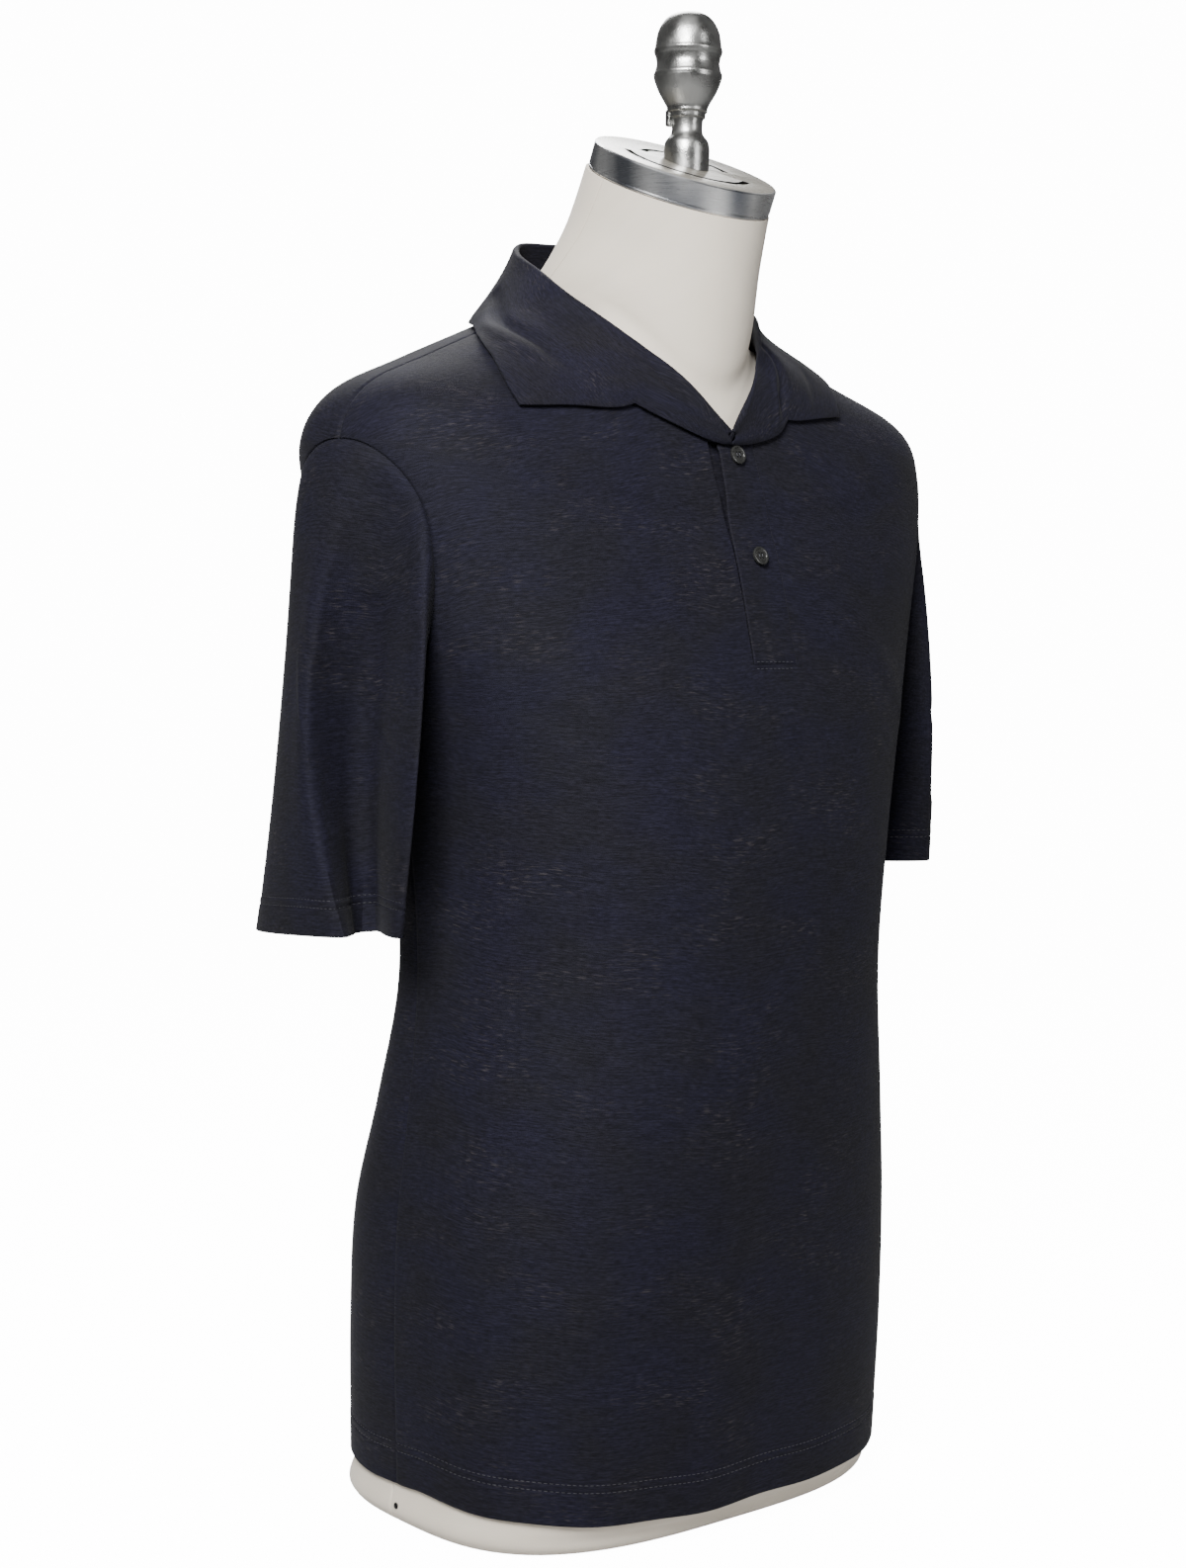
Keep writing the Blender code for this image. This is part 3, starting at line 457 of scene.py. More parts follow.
join(rescale(brushed, on_top, 0, 1, 1.0, 0.25), brushed_shader.inputs["Metallic"])
join(rescale(brushed, brushed_lines, 0, 1, 0.20, 0.38), brushed_shader.inputs["Roughness"])
roughen(brushed, brushed_shader, brushed_lines, 0.1, 0.0002)
rim = PLATE_RADIUS
bm = turn_profile([(0.0, 0.0), (rim - 0.0020, 0.0), (rim - 0.0008, -0.0003), (rim, -0.0012),
                   (rim, -0.0142), (rim - 0.0006, -0.0147), (rim - 0.0002, -0.0152),
                   (rim - 0.0002, -0.0161), (rim - 0.0006, -PLATE_THICK), (0.0, -PLATE_THICK)], 96)
bmesh.ops.transform(bm, verts=bm.verts, matrix=PLATE_PLACE)
plate = add_object("neck_plate", bm, brushed)
bm = bmesh.new()
for slot in SLOTS:
    corners = [(slot.radius + across * SLOT_WIDTH / 2, 0, height) for across, height in
               ((-1, -SLOT_DEPTH), (1, -SLOT_DEPTH), (1, SLOT_DEPTH), (-1, SLOT_DEPTH))]
    verts = [bm.verts.new(corner) for corner in corners]
    edges = [bm.edges.new((verts[i], verts[(i + 1) % 4])) for i in range(4)]
    bmesh.ops.rotate(bm, verts=verts, matrix=Matrix.Rotation(math.radians(slot.start), 3, "Z"))
    bmesh.ops.spin(bm, geom=verts + edges, cent=(0, 0, 0), axis=(0, 0, 1), dvec=(0, 0, 0),
                   angle=math.radians(slot.sweep), steps=36)
bmesh.ops.holes_fill(bm, edges=bm.edges[:], sides=4)
bmesh.ops.recalc_face_normals(bm, faces=bm.faces)
bmesh.ops.transform(bm, verts=bm.verts, matrix=PLATE_PLACE)
cut_out(plate, bm)
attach(plate, "root")
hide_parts("neck_cap")

# ---- Knob
# A cast and polished metal knob screws into the plate and stands upright. Two soft rings run
# round its belly, and a small lug stands out from its neck.
KNOB_PROFILE = (
    (-0.0060, 0.0135), (0.0080, 0.0140), (0.0130, 0.0130), (0.0170, 0.0100), (0.0210, 0.0092),
    (0.0265, 0.0098), (0.0272, 0.0108), (0.0300, 0.0112), (0.0308, 0.0121), (0.0340, 0.0127),
    (0.0425, 0.0175), (0.0490, 0.0201), (0.0512, 0.0206), (0.0528, 0.0207), (0.0545, 0.0200),
    (0.0590, 0.0190), (0.0630, 0.0196), (0.0652, 0.0204), (0.0670, 0.0207), (0.0690, 0.0201),
    (0.0780, 0.0185), (0.0850, 0.0145), (0.0885, 0.0095), (0.0900, 0.0040), (0.0905, 0.0000),
)
LUG = (0.0075, 0.0050, 0.0100)            # a small lug on the knob's neck, on the wearer's right
LUG_AT = (-0.0068, -0.0406, 0.8486)
LUG_TURN = -15
cast, cast_shader = new_finish("cast_metal", (0.33, 0.33, 0.32), 0.3, 1.0)
cast_at = own_place(cast)
cast_wear = rescale(cast, noise(cast, cast_at, 90.0, 3.0), 0.3, 0.7, 0.22, 0.42)
join(cast_wear, cast_shader.inputs["Roughness"])
roughen(cast, cast_shader, noise(cast, cast_at, 900.0, 4.0), 0.25, 0.0004)
profile = curve(KNOB_PROFILE, np.linspace(0, len(KNOB_PROFILE) - 1, 5 * len(KNOB_PROFILE)), (1,))
bm = turn_profile([(0.0, KNOB_PROFILE[0][0])] + [(max(radius, 0), height) for height, radius in profile], 72)
slope = Matrix.Rotation(math.radians(PLATE_TILT), 3, "X")
cut = bmesh.ops.bisect_plane(bm, geom=bm.verts[:] + bm.edges[:] + bm.faces[:], clear_outer=True,
                             plane_co=slope @ Vector((0, 0, 0.0002)), plane_no=slope @ Vector((0, 0, -1)))
bmesh.ops.holes_fill(bm, edges=[e for e in cut["geom_cut"] if isinstance(e, bmesh.types.BMEdge)])
bmesh.ops.translate(bm, verts=bm.verts, vec=PLATE_TOP)
lug = bmesh.ops.create_cube(bm, size=1.0, matrix=Matrix.Translation(LUG_AT)
                            @ Matrix.Rotation(math.radians(LUG_TURN), 4, "Z") @ Matrix.Diagonal((*LUG, 1)))
bmesh.ops.bevel(bm, geom=[edge for edge in bm.edges if set(edge.verts) <= set(lug["verts"])],
                offset=0.0007, segments=2, affect="EDGES")
knob = add_object("knob", bm, cast)
knob.data.set_sharp_from_angle(angle=math.radians(EDGE_CRISP))
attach(knob, "root")
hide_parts("finial")

# ---- Front and back
# Two panels of slub linen jersey, joined at the sides and along forward shoulder seams. The front
# is slit for the placket. The hem is turned up, and draws in where it is stitched.
SHOULDER_SEAM = 88                        # degrees, a little forward of the shoulder's ridge
ARMHOLE_FRONT, ARMHOLE_BACK = 17, -15     # how far the armhole is cut into each panel
SEAM_LAP = 0.0006                         # how far two panels lap in the bottom of their seam
SEAM_WIDTH, SEAM_DEPTH = 0.0014, 0.0012
JERSEY = 0.0007                           # one layer
SLIT_FOOT = 6.69                          # ring number
SLIT_SHARE = 0.1                          # share of the front's columns that lie across the slit
PLACKET_HALF, PLACKET_SHIFT = 0.0177, 0.0030   # the shift is to the wearer's left
HEM_TURN, HEM_FOLD, HEM_WAVE = 0.0265, 0.00075, 0.0006
EDGE_FADE = 0.02                          # creases and waves die out this far from a seam
STITCH_ROWS = (0.0200, 0.0248)            # up from the hem's edge


def make_jersey(name):
    """Dark navy jersey with streaky courses along U, paler thin slubs and a faint knit bump."""
    jersey, shader = new_finish(name, (0.010, 0.010, 0.017), 0.8)
    cloth = put(jersey, "UVMap", uv_map="cloth").outputs["UV"]

    def streaks(length, height, detail, low=0.35, high=0.65):
        """0 to 1 streaks of a length and height in metres, along the courses."""
        return rescale(jersey, noise(jersey, cloth, (1 / length, 1 / height, 1), detail, "2D"), low, high)

    patches = streaks(0.055, 0.045, 3.0)
    fine = streaks(0.0042, 0.0007, 3.0, 0.3, 0.7)
    courses = streaks(0.017, 0.0011, 3.0)
    slubs = streaks(0.0085, 0.0010, 2.0, 0.585, 0.78)
    thin_places = streaks(0.075, 0.030, 3.0, 0.50, 0.68)
    tone = blend(jersey, patches, (0.0048, 0.0046, 0.0097, 1), (0.0049, 0.0047, 0.0076, 1))
    shades = blend(jersey, courses, (0.74, 0.74, 0.75, 1), (1.30, 1.30, 1.29, 1))
    threads = blend(jersey, fine, (0.60, 0.60, 0.61, 1), (1.46, 1.46, 1.45, 1))
    shaded = vector_maths(jersey, "MULTIPLY", tone, shades, "Vector")
    streaky = vector_maths(jersey, "MULTIPLY", shaded, threads, "Vector")
    faint = product(jersey, slubs, rescale(jersey, thin_places, 0, 1, 0.06, 0.90))
    join(blend(jersey, faint, streaky, (0.025, 0.022, 0.025, 1)), shader.inputs["Base Color"])
    roughen(jersey, shader, fine, 0.30, 0.0003)
    shader.inputs["Specular IOR Level"].default_value = 0.1
    shader.inputs["Sheen Weight"].default_value = 0.02
    shader.inputs["Sheen Roughness"].default_value = 0.4
    return jersey


jersey = make_jersey("slub_linen_jersey")


def armhole_ring(turn):
    return UNDERARM + (SHOULDER_POINT - UNDERARM) * (1 - np.cos(turn)) / 2


def armhole_angle(turn, hollow):
    return np.radians(90 + (SHOULDER_SEAM - 90) * (1 - np.cos(turn)) / 2 - hollow * np.sin(turn))


def slit_angle(at, half_width):
    row = Ring(*np.moveaxis(curve(SHIRT_RINGS, at), -1, 0))
    return np.arcsin(half_width / (row.side_y - row.front_y))


def thicken(piece, thickness):
    """Gives the sheet its thickness inward, with crisp cut edges."""
    shell = piece.modifiers.new("thickness", "SOLIDIFY")
    shell.thickness = thickness
    shell.offset = -1
    bake(piece, EDGE_CRISP)


# Ring numbers of the panels' rows, closer together at the hem, and turns round the armhole
ARMHOLE_TURNS = np.linspace(0, math.pi, 81)
BELOW_ARMHOLE = np.concatenate((np.linspace(0, 0.36, 37)[:-1], np.linspace(0.36, UNDERARM, 113)[:-1]))
ABOVE_ARMHOLE = np.linspace(SHOULDER_POINT, NECKLINE, 41)[1:]
PANEL_AT = np.concatenate((BELOW_ARMHOLE, armhole_ring(ARMHOLE_TURNS), ABOVE_ARMHOLE))
PANEL_TURN = np.concatenate((np.zeros_like(BELOW_ARMHOLE), ARMHOLE_TURNS,
                             np.full_like(ABOVE_ARMHOLE, math.pi)))
EDGE_SHARES = (0.9885, 0.9925, 0.9955, 0.998, 1.0)



def panel_edge(hollow):
    """The seam line's angle at each row: the side seam, then the armhole, then the shoulder seam."""
    return armhole_angle(PANEL_TURN, hollow)


def edge_lap():
    return SEAM_LAP / 2 / shirt(PANEL_AT, panel_edge(0))[..., 0]


def shares(columns):
    """Places across a panel from -1 to 1, closer together near its edges."""
    side = np.concatenate((np.linspace(0, 1, columns // 2 + 1)[:-1] * EDGE_SHARES[0], EDGE_SHARES))
    return np.concatenate((-side[:0:-1], side))


def ramp(value, low, high):
    """0 up to low, 1 from high on, and straight between."""
    return np.clip((value - low) / (high - low), 0, 1)


def slit_opening(at):
    """How far the wearer's right edge of the slit gapes towards the top."""
    return 0.0018 * ramp(at, 8.4, 11.0)


def front_angles(share):
    at = np.maximum(PANEL_AT, SLIT_FOOT - 1)[:, None]
    half = np.where(share < 0, PLACKET_HALF - PLACKET_SHIFT + slit_opening(at), PLACKET_HALF + PLACKET_SHIFT)
    slit_edge = slit_angle(at, half)
    edge = (panel_edge(ARMHOLE_FRONT) + edge_lap())[:, None]
    beyond = np.maximum(np.abs(share) - SLIT_SHARE, 0) / (1 - SLIT_SHARE)
    within = np.minimum(np.abs(share) / SLIT_SHARE, 1)
    return np.sign(share) * (slit_edge * within + (edge - slit_edge) * beyond)


def back_angles(share):
    return math.pi + share * (math.pi - panel_edge(ARMHOLE_BACK) + edge_lap())[:, None]


# Soft creases in the panels, as troughs (negative) and ridges: where they start, as an angle from
# the centre front and a height, how far they run, and their half width and depth.
Crease = namedtuple("Crease", "angle height turn rise half_width depth")
PANEL_ARM = 0.17                          # metres of cloth for each radian round the body


def crease_lift(creases, arm, angle, height):
    """The sum of creases at angles and heights. A crease fades at both ends."""
    across = angle * arm
    lift = np.zeros(np.broadcast(across, height).shape)
    for crease in creases:
        start = np.array((math.radians(crease.angle) * arm, crease.height))
        run = np.array((math.radians(crease.turn) * arm, crease.rise))
        length = np.hypot(*run)
        x, y = across - start[0], height - start[1]
        along = (x * run[0] + y * run[1]) / length ** 2
        off = (x * run[1] - y * run[0]) / length / crease.half_width
        fade = np.clip(along, 0, 1) * np.clip(1 - along, 0, 1) * 4
        lift += crease.depth * np.exp(-off * off) * np.sqrt(fade)
    return lift


FRONT_CREASES = [Crease(*row) for row in (
    (-62, 0.560, 22, -0.090, 0.010, 0.0010),
    (-58, 0.500, 18, -0.030, 0.007, -0.0008),
    (-70, 0.380, 38, 0.000, 0.0022, 0.0006),
    (-20, 0.500, 26, -0.030, 0.012, 0.0009),
    (-30, 0.300, 40, -0.020, 0.016, 0.0009),
    (30, 0.560, 24, -0.080, 0.010, 0.0009),
    (10, 0.180, 40, 0.020, 0.014, -0.0009),
    (-60, 0.140, 34, 0.018, 0.012, 0.0008),
)]
BACK_CREASES = [Crease(*row) for row in (
    (-52, 0.560, 20, -0.100, 0.011, 0.0010),
    (34, 0.540, 22, -0.110, 0.010, -0.0010),
    (-30, 0.330, 44, 0.016, 0.014, 0.0012),
    (-24, 0.250, 50, -0.014, 0.012, -0.0010),
    (-40, 0.160, 30, 0.020, 0.014, 0.0009),
)]


def outward(points, tube):
    """The grid's normals. On a tube the first and last columns meet."""
    across = np.gradient(points, axis=1)
    if tube:
        wrapped = np.concatenate((points[:, -2:-1], points, points[:, 1:2]), axis=1)
        across = wrapped[:, 2:] - wrapped[:, :-2]
    return unit(np.cross(across, np.gradient(points, axis=0)))


def raise_cloth(points, lift, tube=False):
    return points + outward(points, tube) * lift[..., None]


def turn_up(points, depth, tube=False):
    """Rows added before the first one: the hem's round edge and the cloth turned up inside."""
    out = outward(points, tube)
    down = unit(points[0] - points[1])
    fold = [points[0] + HEM_FOLD * (down * math.sin(a) - out[0] * (1 - math.cos(a)))
            for a in np.linspace(math.pi, 0, 7)[1:-1]]
    up = np.linalg.norm(points[:, points.shape[1] // 2] - points[0, points.shape[1] // 2], axis=-1)
    inside = (points - 2 * HEM_FOLD * out)[:int(np.searchsorted(up, depth)) + 1:4]
    return np.concatenate((inside[::-1], np.array(fold), points))


def groove(distance, width, depth):
    return -depth * np.exp(-(distance / width) ** 2)


def hem_lift(up, edge_depth, rows):
    """The turned hem is a little proud, and each row of stitches draws it in."""
    lift = 0.00030 * np.clip((edge_depth - up) / 0.002, 0, 1)
    for row in rows:
        lift = lift + groove(up - row, 0.0009, 0.00045)
    return lift


def make_panel(name, angles, creases, cut=None):
    points = shirt(PANEL_AT[:, None], angles)
    across, up = np.moveaxis(flat_lengths(points), -1, 0)
    to_edge = np.minimum(across - across[:, :1], across[:, -1:] - across)
    around = np.where(np.cos(angles) > 0, angles, angles - math.pi)
    lift = crease_lift(creases, PANEL_ARM, around, points[..., 2])
    lift *= ramp(to_edge, 0, EDGE_FADE)
    seam_depth = np.where(PANEL_AT < UNDERARM - 0.5, 0.4, 1.0)[:, None] * SEAM_DEPTH
    lift += groove(to_edge, SEAM_WIDTH, seam_depth) + hem_lift(up, STITCH_ROWS[1] + 0.0015, STITCH_ROWS)
    points = raise_cloth(points, lift)
    wave = HEM_WAVE * (np.sin(across / 0.021) + np.sin(across / 0.0125 + 1))
    points[..., 2] += wave * np.clip(1 - up / 0.05, 0, 1) * ramp(to_edge, 0, EDGE_FADE)
    folded = turn_up(points, HEM_TURN)
    extra = len(folded) - len(points)
    if cut is not None:
        cut = np.concatenate((np.zeros((extra, cut.shape[1]), bool), cut))
    panel = weave_grid(name, folded, jersey, cut=cut)
    thicken(panel, JERSEY)
    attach(panel, "root")
    return panel, points


front_shares, back_shares = shares(120), shares(104)
middle = (front_shares[1:] + front_shares[:-1]) / 2
slit_faces = (PANEL_AT[:-1, None] > SLIT_FOOT - 0.01) & (np.abs(middle)[None, :] < SLIT_SHARE)
front, front_points = make_panel("front_panel", front_angles(front_shares), FRONT_CREASES, slit_faces)
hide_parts("front")
back, back_points = make_panel("back_panel", back_angles(back_shares), BACK_CREASES)
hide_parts("back")

# ---- Sleeves
# Short set-in sleeves, each one piece of jersey sewn round the armhole, with a turned cuff hem.
# They hang empty, flat and pressed. A deep fold runs down the front of the wearer's right one.
SleeveLine = namedtuple("SleeveLine", "round cuff_out cuff_y cuff_z belly_out belly_y")
SLEEVE_RIGHT = [SleeveLine(*row) for row in (
    (0, 0.1810, 0.0300, 0.3620, 0.004, 0.000),
    (30, 0.1850, -0.0050, 0.3630, 0.006, -0.004),
    (60, 0.1930, -0.0290, 0.3635, 0.006, -0.006),
    (90, 0.1985, -0.0350, 0.3640, 0.006, -0.010),
    (105, 0.2010, -0.0300, 0.3640, 0.004, -0.003),
    (120, 0.1940, 0.0010, 0.3635, -0.001, 0.019),
    (135, 0.2100, -0.0060, 0.3640, 0.003, 0.030),
    (150, 0.2260, -0.0130, 0.3640, 0.012, 0.030),
    (180, 0.2290, 0.0300, 0.3610, 0.006, 0.012),
    (210, 0.2230, 0.0700, 0.3580, 0.002, 0.000),
    (240, 0.2110, 0.0980, 0.3560, 0.001, -0.008),
    (270, 0.2020, 0.1060, 0.3550, 0.000, -0.010),
    (300, 0.1930, 0.0940, 0.3565, 0.000, -0.008),
    (330, 0.1850, 0.0640, 0.3590, 0.002, -0.004),
)]
SLEEVE_LEFT = [SleeveLine(*row) for row in (
    (0, 0.1810, 0.0300, 0.3860, 0.004, 0.000),
    (30, 0.1860, -0.0080, 0.3870, 0.006, -0.004),
    (60, 0.1960, -0.0380, 0.3875, 0.006, -0.008),
    (90, 0.2120, -0.0540, 0.3880, 0.004, -0.010),
    (120, 0.2265, -0.0510, 0.3880, 0.003, -0.004),
    (150, 0.2370, -0.0200, 0.3880, 0.004, 0.006),
    (180, 0.2370, 0.0260, 0.3860, 0.004, 0.008),
    (210, 0.2320, 0.0680, 0.3840, 0.006, 0.000),
    (240, 0.2180, 0.0960, 0.3820, 0.006, -0.006),
    (270, 0.2040, 0.1020, 0.3810, 0.004, -0.008),
    (300, 0.1930, 0.0900, 0.3820, 0.000, -0.006),
    (330, 0.1850, 0.0620, 0.3840, 0.002, -0.002),
)]
SLEEVE_ARM = 0.053                        # metres of cloth for each radian round a sleeve
SLEEVE_STANDOFF = 0.0007
SLEEVE_KICK = 0.0036                      # the cloth first goes on outward at the shoulder
CUFF_TURN = 0.0225
CUFF_ROWS = (0.0165, 0.0213)


def sleeve_points(lines, turn, along):
    """A sleeve's face on the wearer's left. turn is round it, along is 1 at the cuff. The last
    row is its seam allowance, inside the body."""
    loop = np.minimum(turn, 2 * math.pi - turn)
    hollow = np.where(turn < math.pi, ARMHOLE_FRONT, ARMHOLE_BACK)
    start = shirt(armhole_ring(loop), armhole_angle(loop, hollow), 0.0)
    out = shirt(armhole_ring(loop), armhole_angle(loop, hollow), 1.0) - start
    rounds = np.array([line.round for line in lines] + [360])
    at = np.interp(np.degrees(turn), rounds, np.arange(len(rounds)))
    line = SleeveLine(*np.moveaxis(curve(lines[-1:] + lines + lines[:2], at + 1), -1, 0))
    end = np.stack((line.cuff_out, line.cuff_y, line.cuff_z), -1)
    belly = np.stack((line.belly_out, line.belly_y, np.zeros_like(turn)), -1)
    along = along[:, None, None]
    points = start + (end - start) * along + belly * 4 * along * (1 - along)
    rise = SLEEVE_STANDOFF * (1 - np.exp(-along / 0.01)) * (1 - along)
    points = points + out * (rise - SEAM_DEPTH * np.exp(-(along / 0.007) ** 2))
    kick = np.exp(1 - along / 0.12) * along / 0.12 * (1 - np.cos(turn))[None, :, None] / 2
    points = points + np.array((SLEEVE_KICK, 0, 0)) * kick
    allowance = (start - out * (SEAM_DEPTH + 0.0010))[None]
    return np.concatenate((points, allowance))


def make_sleeve(name, side, lines, creases):
    turn = np.linspace(0, 2 * math.pi, 133)
    along = np.concatenate((np.linspace(1, 0.905, 33)[:-1], np.linspace(0.905, 0, 91) ** 1.1))
    points = sleeve_points(lines, turn, along)
    if side < 0:
        points = points[:, ::-1] * np.array((-1, 1, 1))
    up = flat_lengths(points)[..., 1]
    to_seam = up[-2:-1] - up
    degrees = np.degrees(turn if side > 0 else turn[::-1])[None, :]
    lift = crease_lift(creases, SLEEVE_ARM, np.radians(degrees), up)
    lift *= ramp(to_seam, 0, EDGE_FADE)
    lift += hem_lift(up, CUFF_ROWS[1] + 0.0012, CUFF_ROWS)
    points = raise_cloth(points, lift, tube=True)
    folded = turn_up(points, CUFF_TURN, tube=True)
    sleeve = weave_grid(name, folded, jersey, tube=True)
    thicken(sleeve, JERSEY)
    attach(sleeve, "root")
    return sleeve, points


# angles round the sleeve, and heights up from the cuff
SLEEVE_RIGHT_CREASES = [Crease(*row) for row in (
    (122, -0.090, 6, 0.290, 0.0080, -0.0070),
    (136, 0.060, 10, 0.240, 0.0100, -0.0036),
    (176, 0.168, -34, -0.086, 0.0016, 0.0009),
    (144, 0.095, 4, -0.110, 0.0018, 0.0010),
    (172, 0.175, -46, -0.034, 0.0030, -0.0012),
    (120, 0.120, -10, -0.016, 0.0016, -0.0010),
    (112, 0.080, -26, -0.004, 0.0050, -0.0008),
    (250, -0.040, 10, 0.260, 0.0120, -0.0040),
    (300, 0.060, -30, 0.100, 0.0060, 0.0012),
)]
SLEEVE_LEFT_CREASES = [Crease(*row) for row in (
    (112, 0.040, 14, 0.200, 0.0100, -0.0030),
    (140, -0.030, -6, 0.210, 0.0080, 0.0016),
    (86, 0.110, 30, -0.020, 0.0040, -0.0010),
    (236, -0.040, 12, 0.240, 0.0120, -0.0040),
    (290, 0.050, -24, 0.090, 0.0060, 0.0012),
)]
sleeve_right, right_points = make_sleeve("sleeve_of_right", -1, SLEEVE_RIGHT, SLEEVE_RIGHT_CREASES)
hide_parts("sleeve_right")
sleeve_left, left_points = make_sleeve("sleeve_of_left", 1, SLEEVE_LEFT, SLEEVE_LEFT_CREASES)
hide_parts("sleeve_left")

# ---- Collar
# One folded strip of double jersey with no separate band. It stands round the neck, rolls over
# and lies on the shoulders, and its points spread wide. The front ends turn back to the button.
CollarLine = namedtuple("CollarLine", "seat roll_x roll_y roll_z crease_ring crease_angle crease_lift")
COLLAR_LINES = [CollarLine(*row) for row in (
    (180, 0.0000, 0.0780, 0.7850, 12.20, 180, 0.010),
    (150, 0.0370, 0.0660, 0.7810, 12.10, 152, 0.010),
    (118, 0.0640, 0.0340, 0.7690, 11.90, 116, 0.010),
    (90, 0.0735, 0.0000, 0.7545, 11.72, 88, 0.008),
    (70, 0.0755, -0.0280, 0.7390, 11.72, 76, 0.005),
    (53.3, 0.0615, -0.0475, 0.7230, 11.72, 62, 0.004),
    (44.6, 0.0535, -0.0560, 0.7150, 11.80, 48, 0.005),
    (36.0, 0.0455, -0.0635, 0.7072, 11.91, 32, 0.005),
    (18.6, 0.0272, -0.0795, 0.6885, 12.04, 17, 0.005),
    (0.0, -0.0003, -0.0926, 0.6590, 12.20, 2, 0.004),
)]
COLLAR_EDGE = {                           # the leaf's edge at the same lines, as ring and angle
    "right": ((11.85, 180), (11.85, 150), (11.75, 118), (11.57, 92), (11.05, 74),
              (10.40, 63.0), (10.87, 53.5), (11.54, 36.9), (11.72, 22.8), (11.98, 0.0)),
    "left": ((11.85, 180), (11.85, 150), (11.75, 118), (11.57, 92), (11.20, 73),
             (10.90, 56.3), (11.30, 44.2), (11.64, 31.4), (11.68, 21.5), (11.98, 0.0)),
}
COLLAR_TIP, COLLAR_NOTCH = 5, 7           # lines at which the edge turns a corner
COLLAR_CLOTH, COLLAR_FOLD = 0.0013, 0.0024
COLLAR_EDGE_GAP, COLLAR_RISE = 0.0017, 0.0042
COLLAR_ARM = 0.075                        # metres of cloth for each radian round the neck
# angles round the neck, and heights up from the neckline
COLLAR_CREASES = [Crease(*row) for row in (
    (-108, 0.067, 62, 0.003, 0.0055, -0.0036),
    (-98, 0.080, 44, 0.004, 0.0065, 0.0014),
    (-38, 0.029, 20, 0.014, 0.0022, 0.0008),
    (-33, 0.025, 14, 0.018, 0.0020, -0.0008),
    (49, 0.018, -19, 0.036, 0.0030, -0.0026),
    (44, 0.018, -22, 0.038, 0.0022, 0.0014),
    (56, 0.062, -16, 0.020, 0.0040, -0.0009),
    (120, 0.066, 50, -0.004, 0.0060, -0.0010),
    (-176, 0.070, 44, 0.006, 0.0060, 0.0010),
)]


def double_cloth(piece, thickness, edge):
    """Gives the sheet the thickness of two layers, inward, with its edges rounded off."""
    shell = piece.modifiers.new("double_jersey", "SOLIDIFY")
    shell.thickness = thickness
    shell.offset = -1
    soft_edge = piece.modifiers.new("soft_edge", "BEVEL")
    soft_edge.width = edge
    soft_edge.segments = 2
    soft_edge.limit_method = "ANGLE"
    soft_edge.angle_limit = math.radians(60)


def collar_points(seats, edges):
    """Points across the collar's visible face, seat by seat: up the stand, over and down."""
    numbers = np.array([line.seat for line in COLLAR_LINES])
    at = np.interp(-seats, -numbers, np.arange(len(numbers)))
    line = CollarLine(*np.moveaxis(curve(COLLAR_LINES, at), -1, 0))
    edge_ring, edge_angle = np.moveaxis(curve(edges, at, (COLLAR_TIP, COLLAR_NOTCH)), -1, 0)
    seat = np.radians(seats)
    foot = shirt(NECKLINE - 0.02, seat, -COLLAR_CLOTH)
    crease = shirt(line.crease_ring, np.radians(line.crease_angle), line.crease_lift)
    height = COLLAR_CLOTH + COLLAR_EDGE_GAP
    edge = shirt(edge_ring, np.radians(edge_angle), height)
    lying = shirt((edge_ring + line.crease_ring) / 2, np.radians((edge_angle + line.crease_angle) / 2),
                  height + COLLAR_RISE)
    roll = np.stack((line.roll_x, line.roll_y, line.roll_z), -1)
    to_foot, to_leaf = unit(foot - roll), unit(crease - roll)
    into, out = unit(to_foot + to_leaf), unit(to_leaf - to_foot)
    radius = np.minimum(COLLAR_FOLD, 0.28 * np.linalg.norm(foot - roll, axis=-1))[:, None]
    fold = [roll + radius * (into * (1 - math.sin(a)) - out * math.cos(a))
            for a in np.linspace(0, math.pi, 11)]
    rows = [foot + (fold[0] - foot) * t for t in np.linspace(0, 1, 17)[:-1]] + fold
    for t in np.linspace(0, 1, 43)[1:]:
        rows.append(fold[-1] * (1 - t) ** 3 + crease * 3 * t * (1 - t) ** 2
                    + lying * 3 * t ** 2 * (1 - t) + edge * t ** 3)
    return np.array(rows)


collar_seats = np.concatenate([np.linspace(a.seat, b.seat, n + 1)[:-1] for a, b, n in zip(
    COLLAR_LINES, COLLAR_LINES[1:], (14, 14, 14, 14, 12, 10, 10, 16, 18))] + [[COLLAR_LINES[-1].seat]])
right_half = collar_points(collar_seats, COLLAR_EDGE["right"]) * np.array((-1, 1, 1))
left_half = collar_points(collar_seats, COLLAR_EDGE["left"])
collar_grid = np.concatenate((right_half[:, ::-1], left_half[:, 1:]), axis=1)
collar_flat = flat_lengths(collar_grid)
collar_up = collar_flat[..., 1]
round_neck = np.radians(np.concatenate((-collar_seats[::-1], collar_seats[1:])))[None, :]
collar_lift = crease_lift(COLLAR_CREASES, COLLAR_ARM, round_neck, collar_up)
collar_lift *= ramp(collar_up[-1] - collar_up, 0, 0.012) * ramp(collar_up, 0, 0.010)
collar_grid = raise_cloth(collar_grid, collar_lift)
collar = weave_grid("folded_collar", collar_grid, jersey, collar_flat)
double_cloth(collar, COLLAR_CLOTH, 0.00045)
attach(collar, "root")
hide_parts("collar")

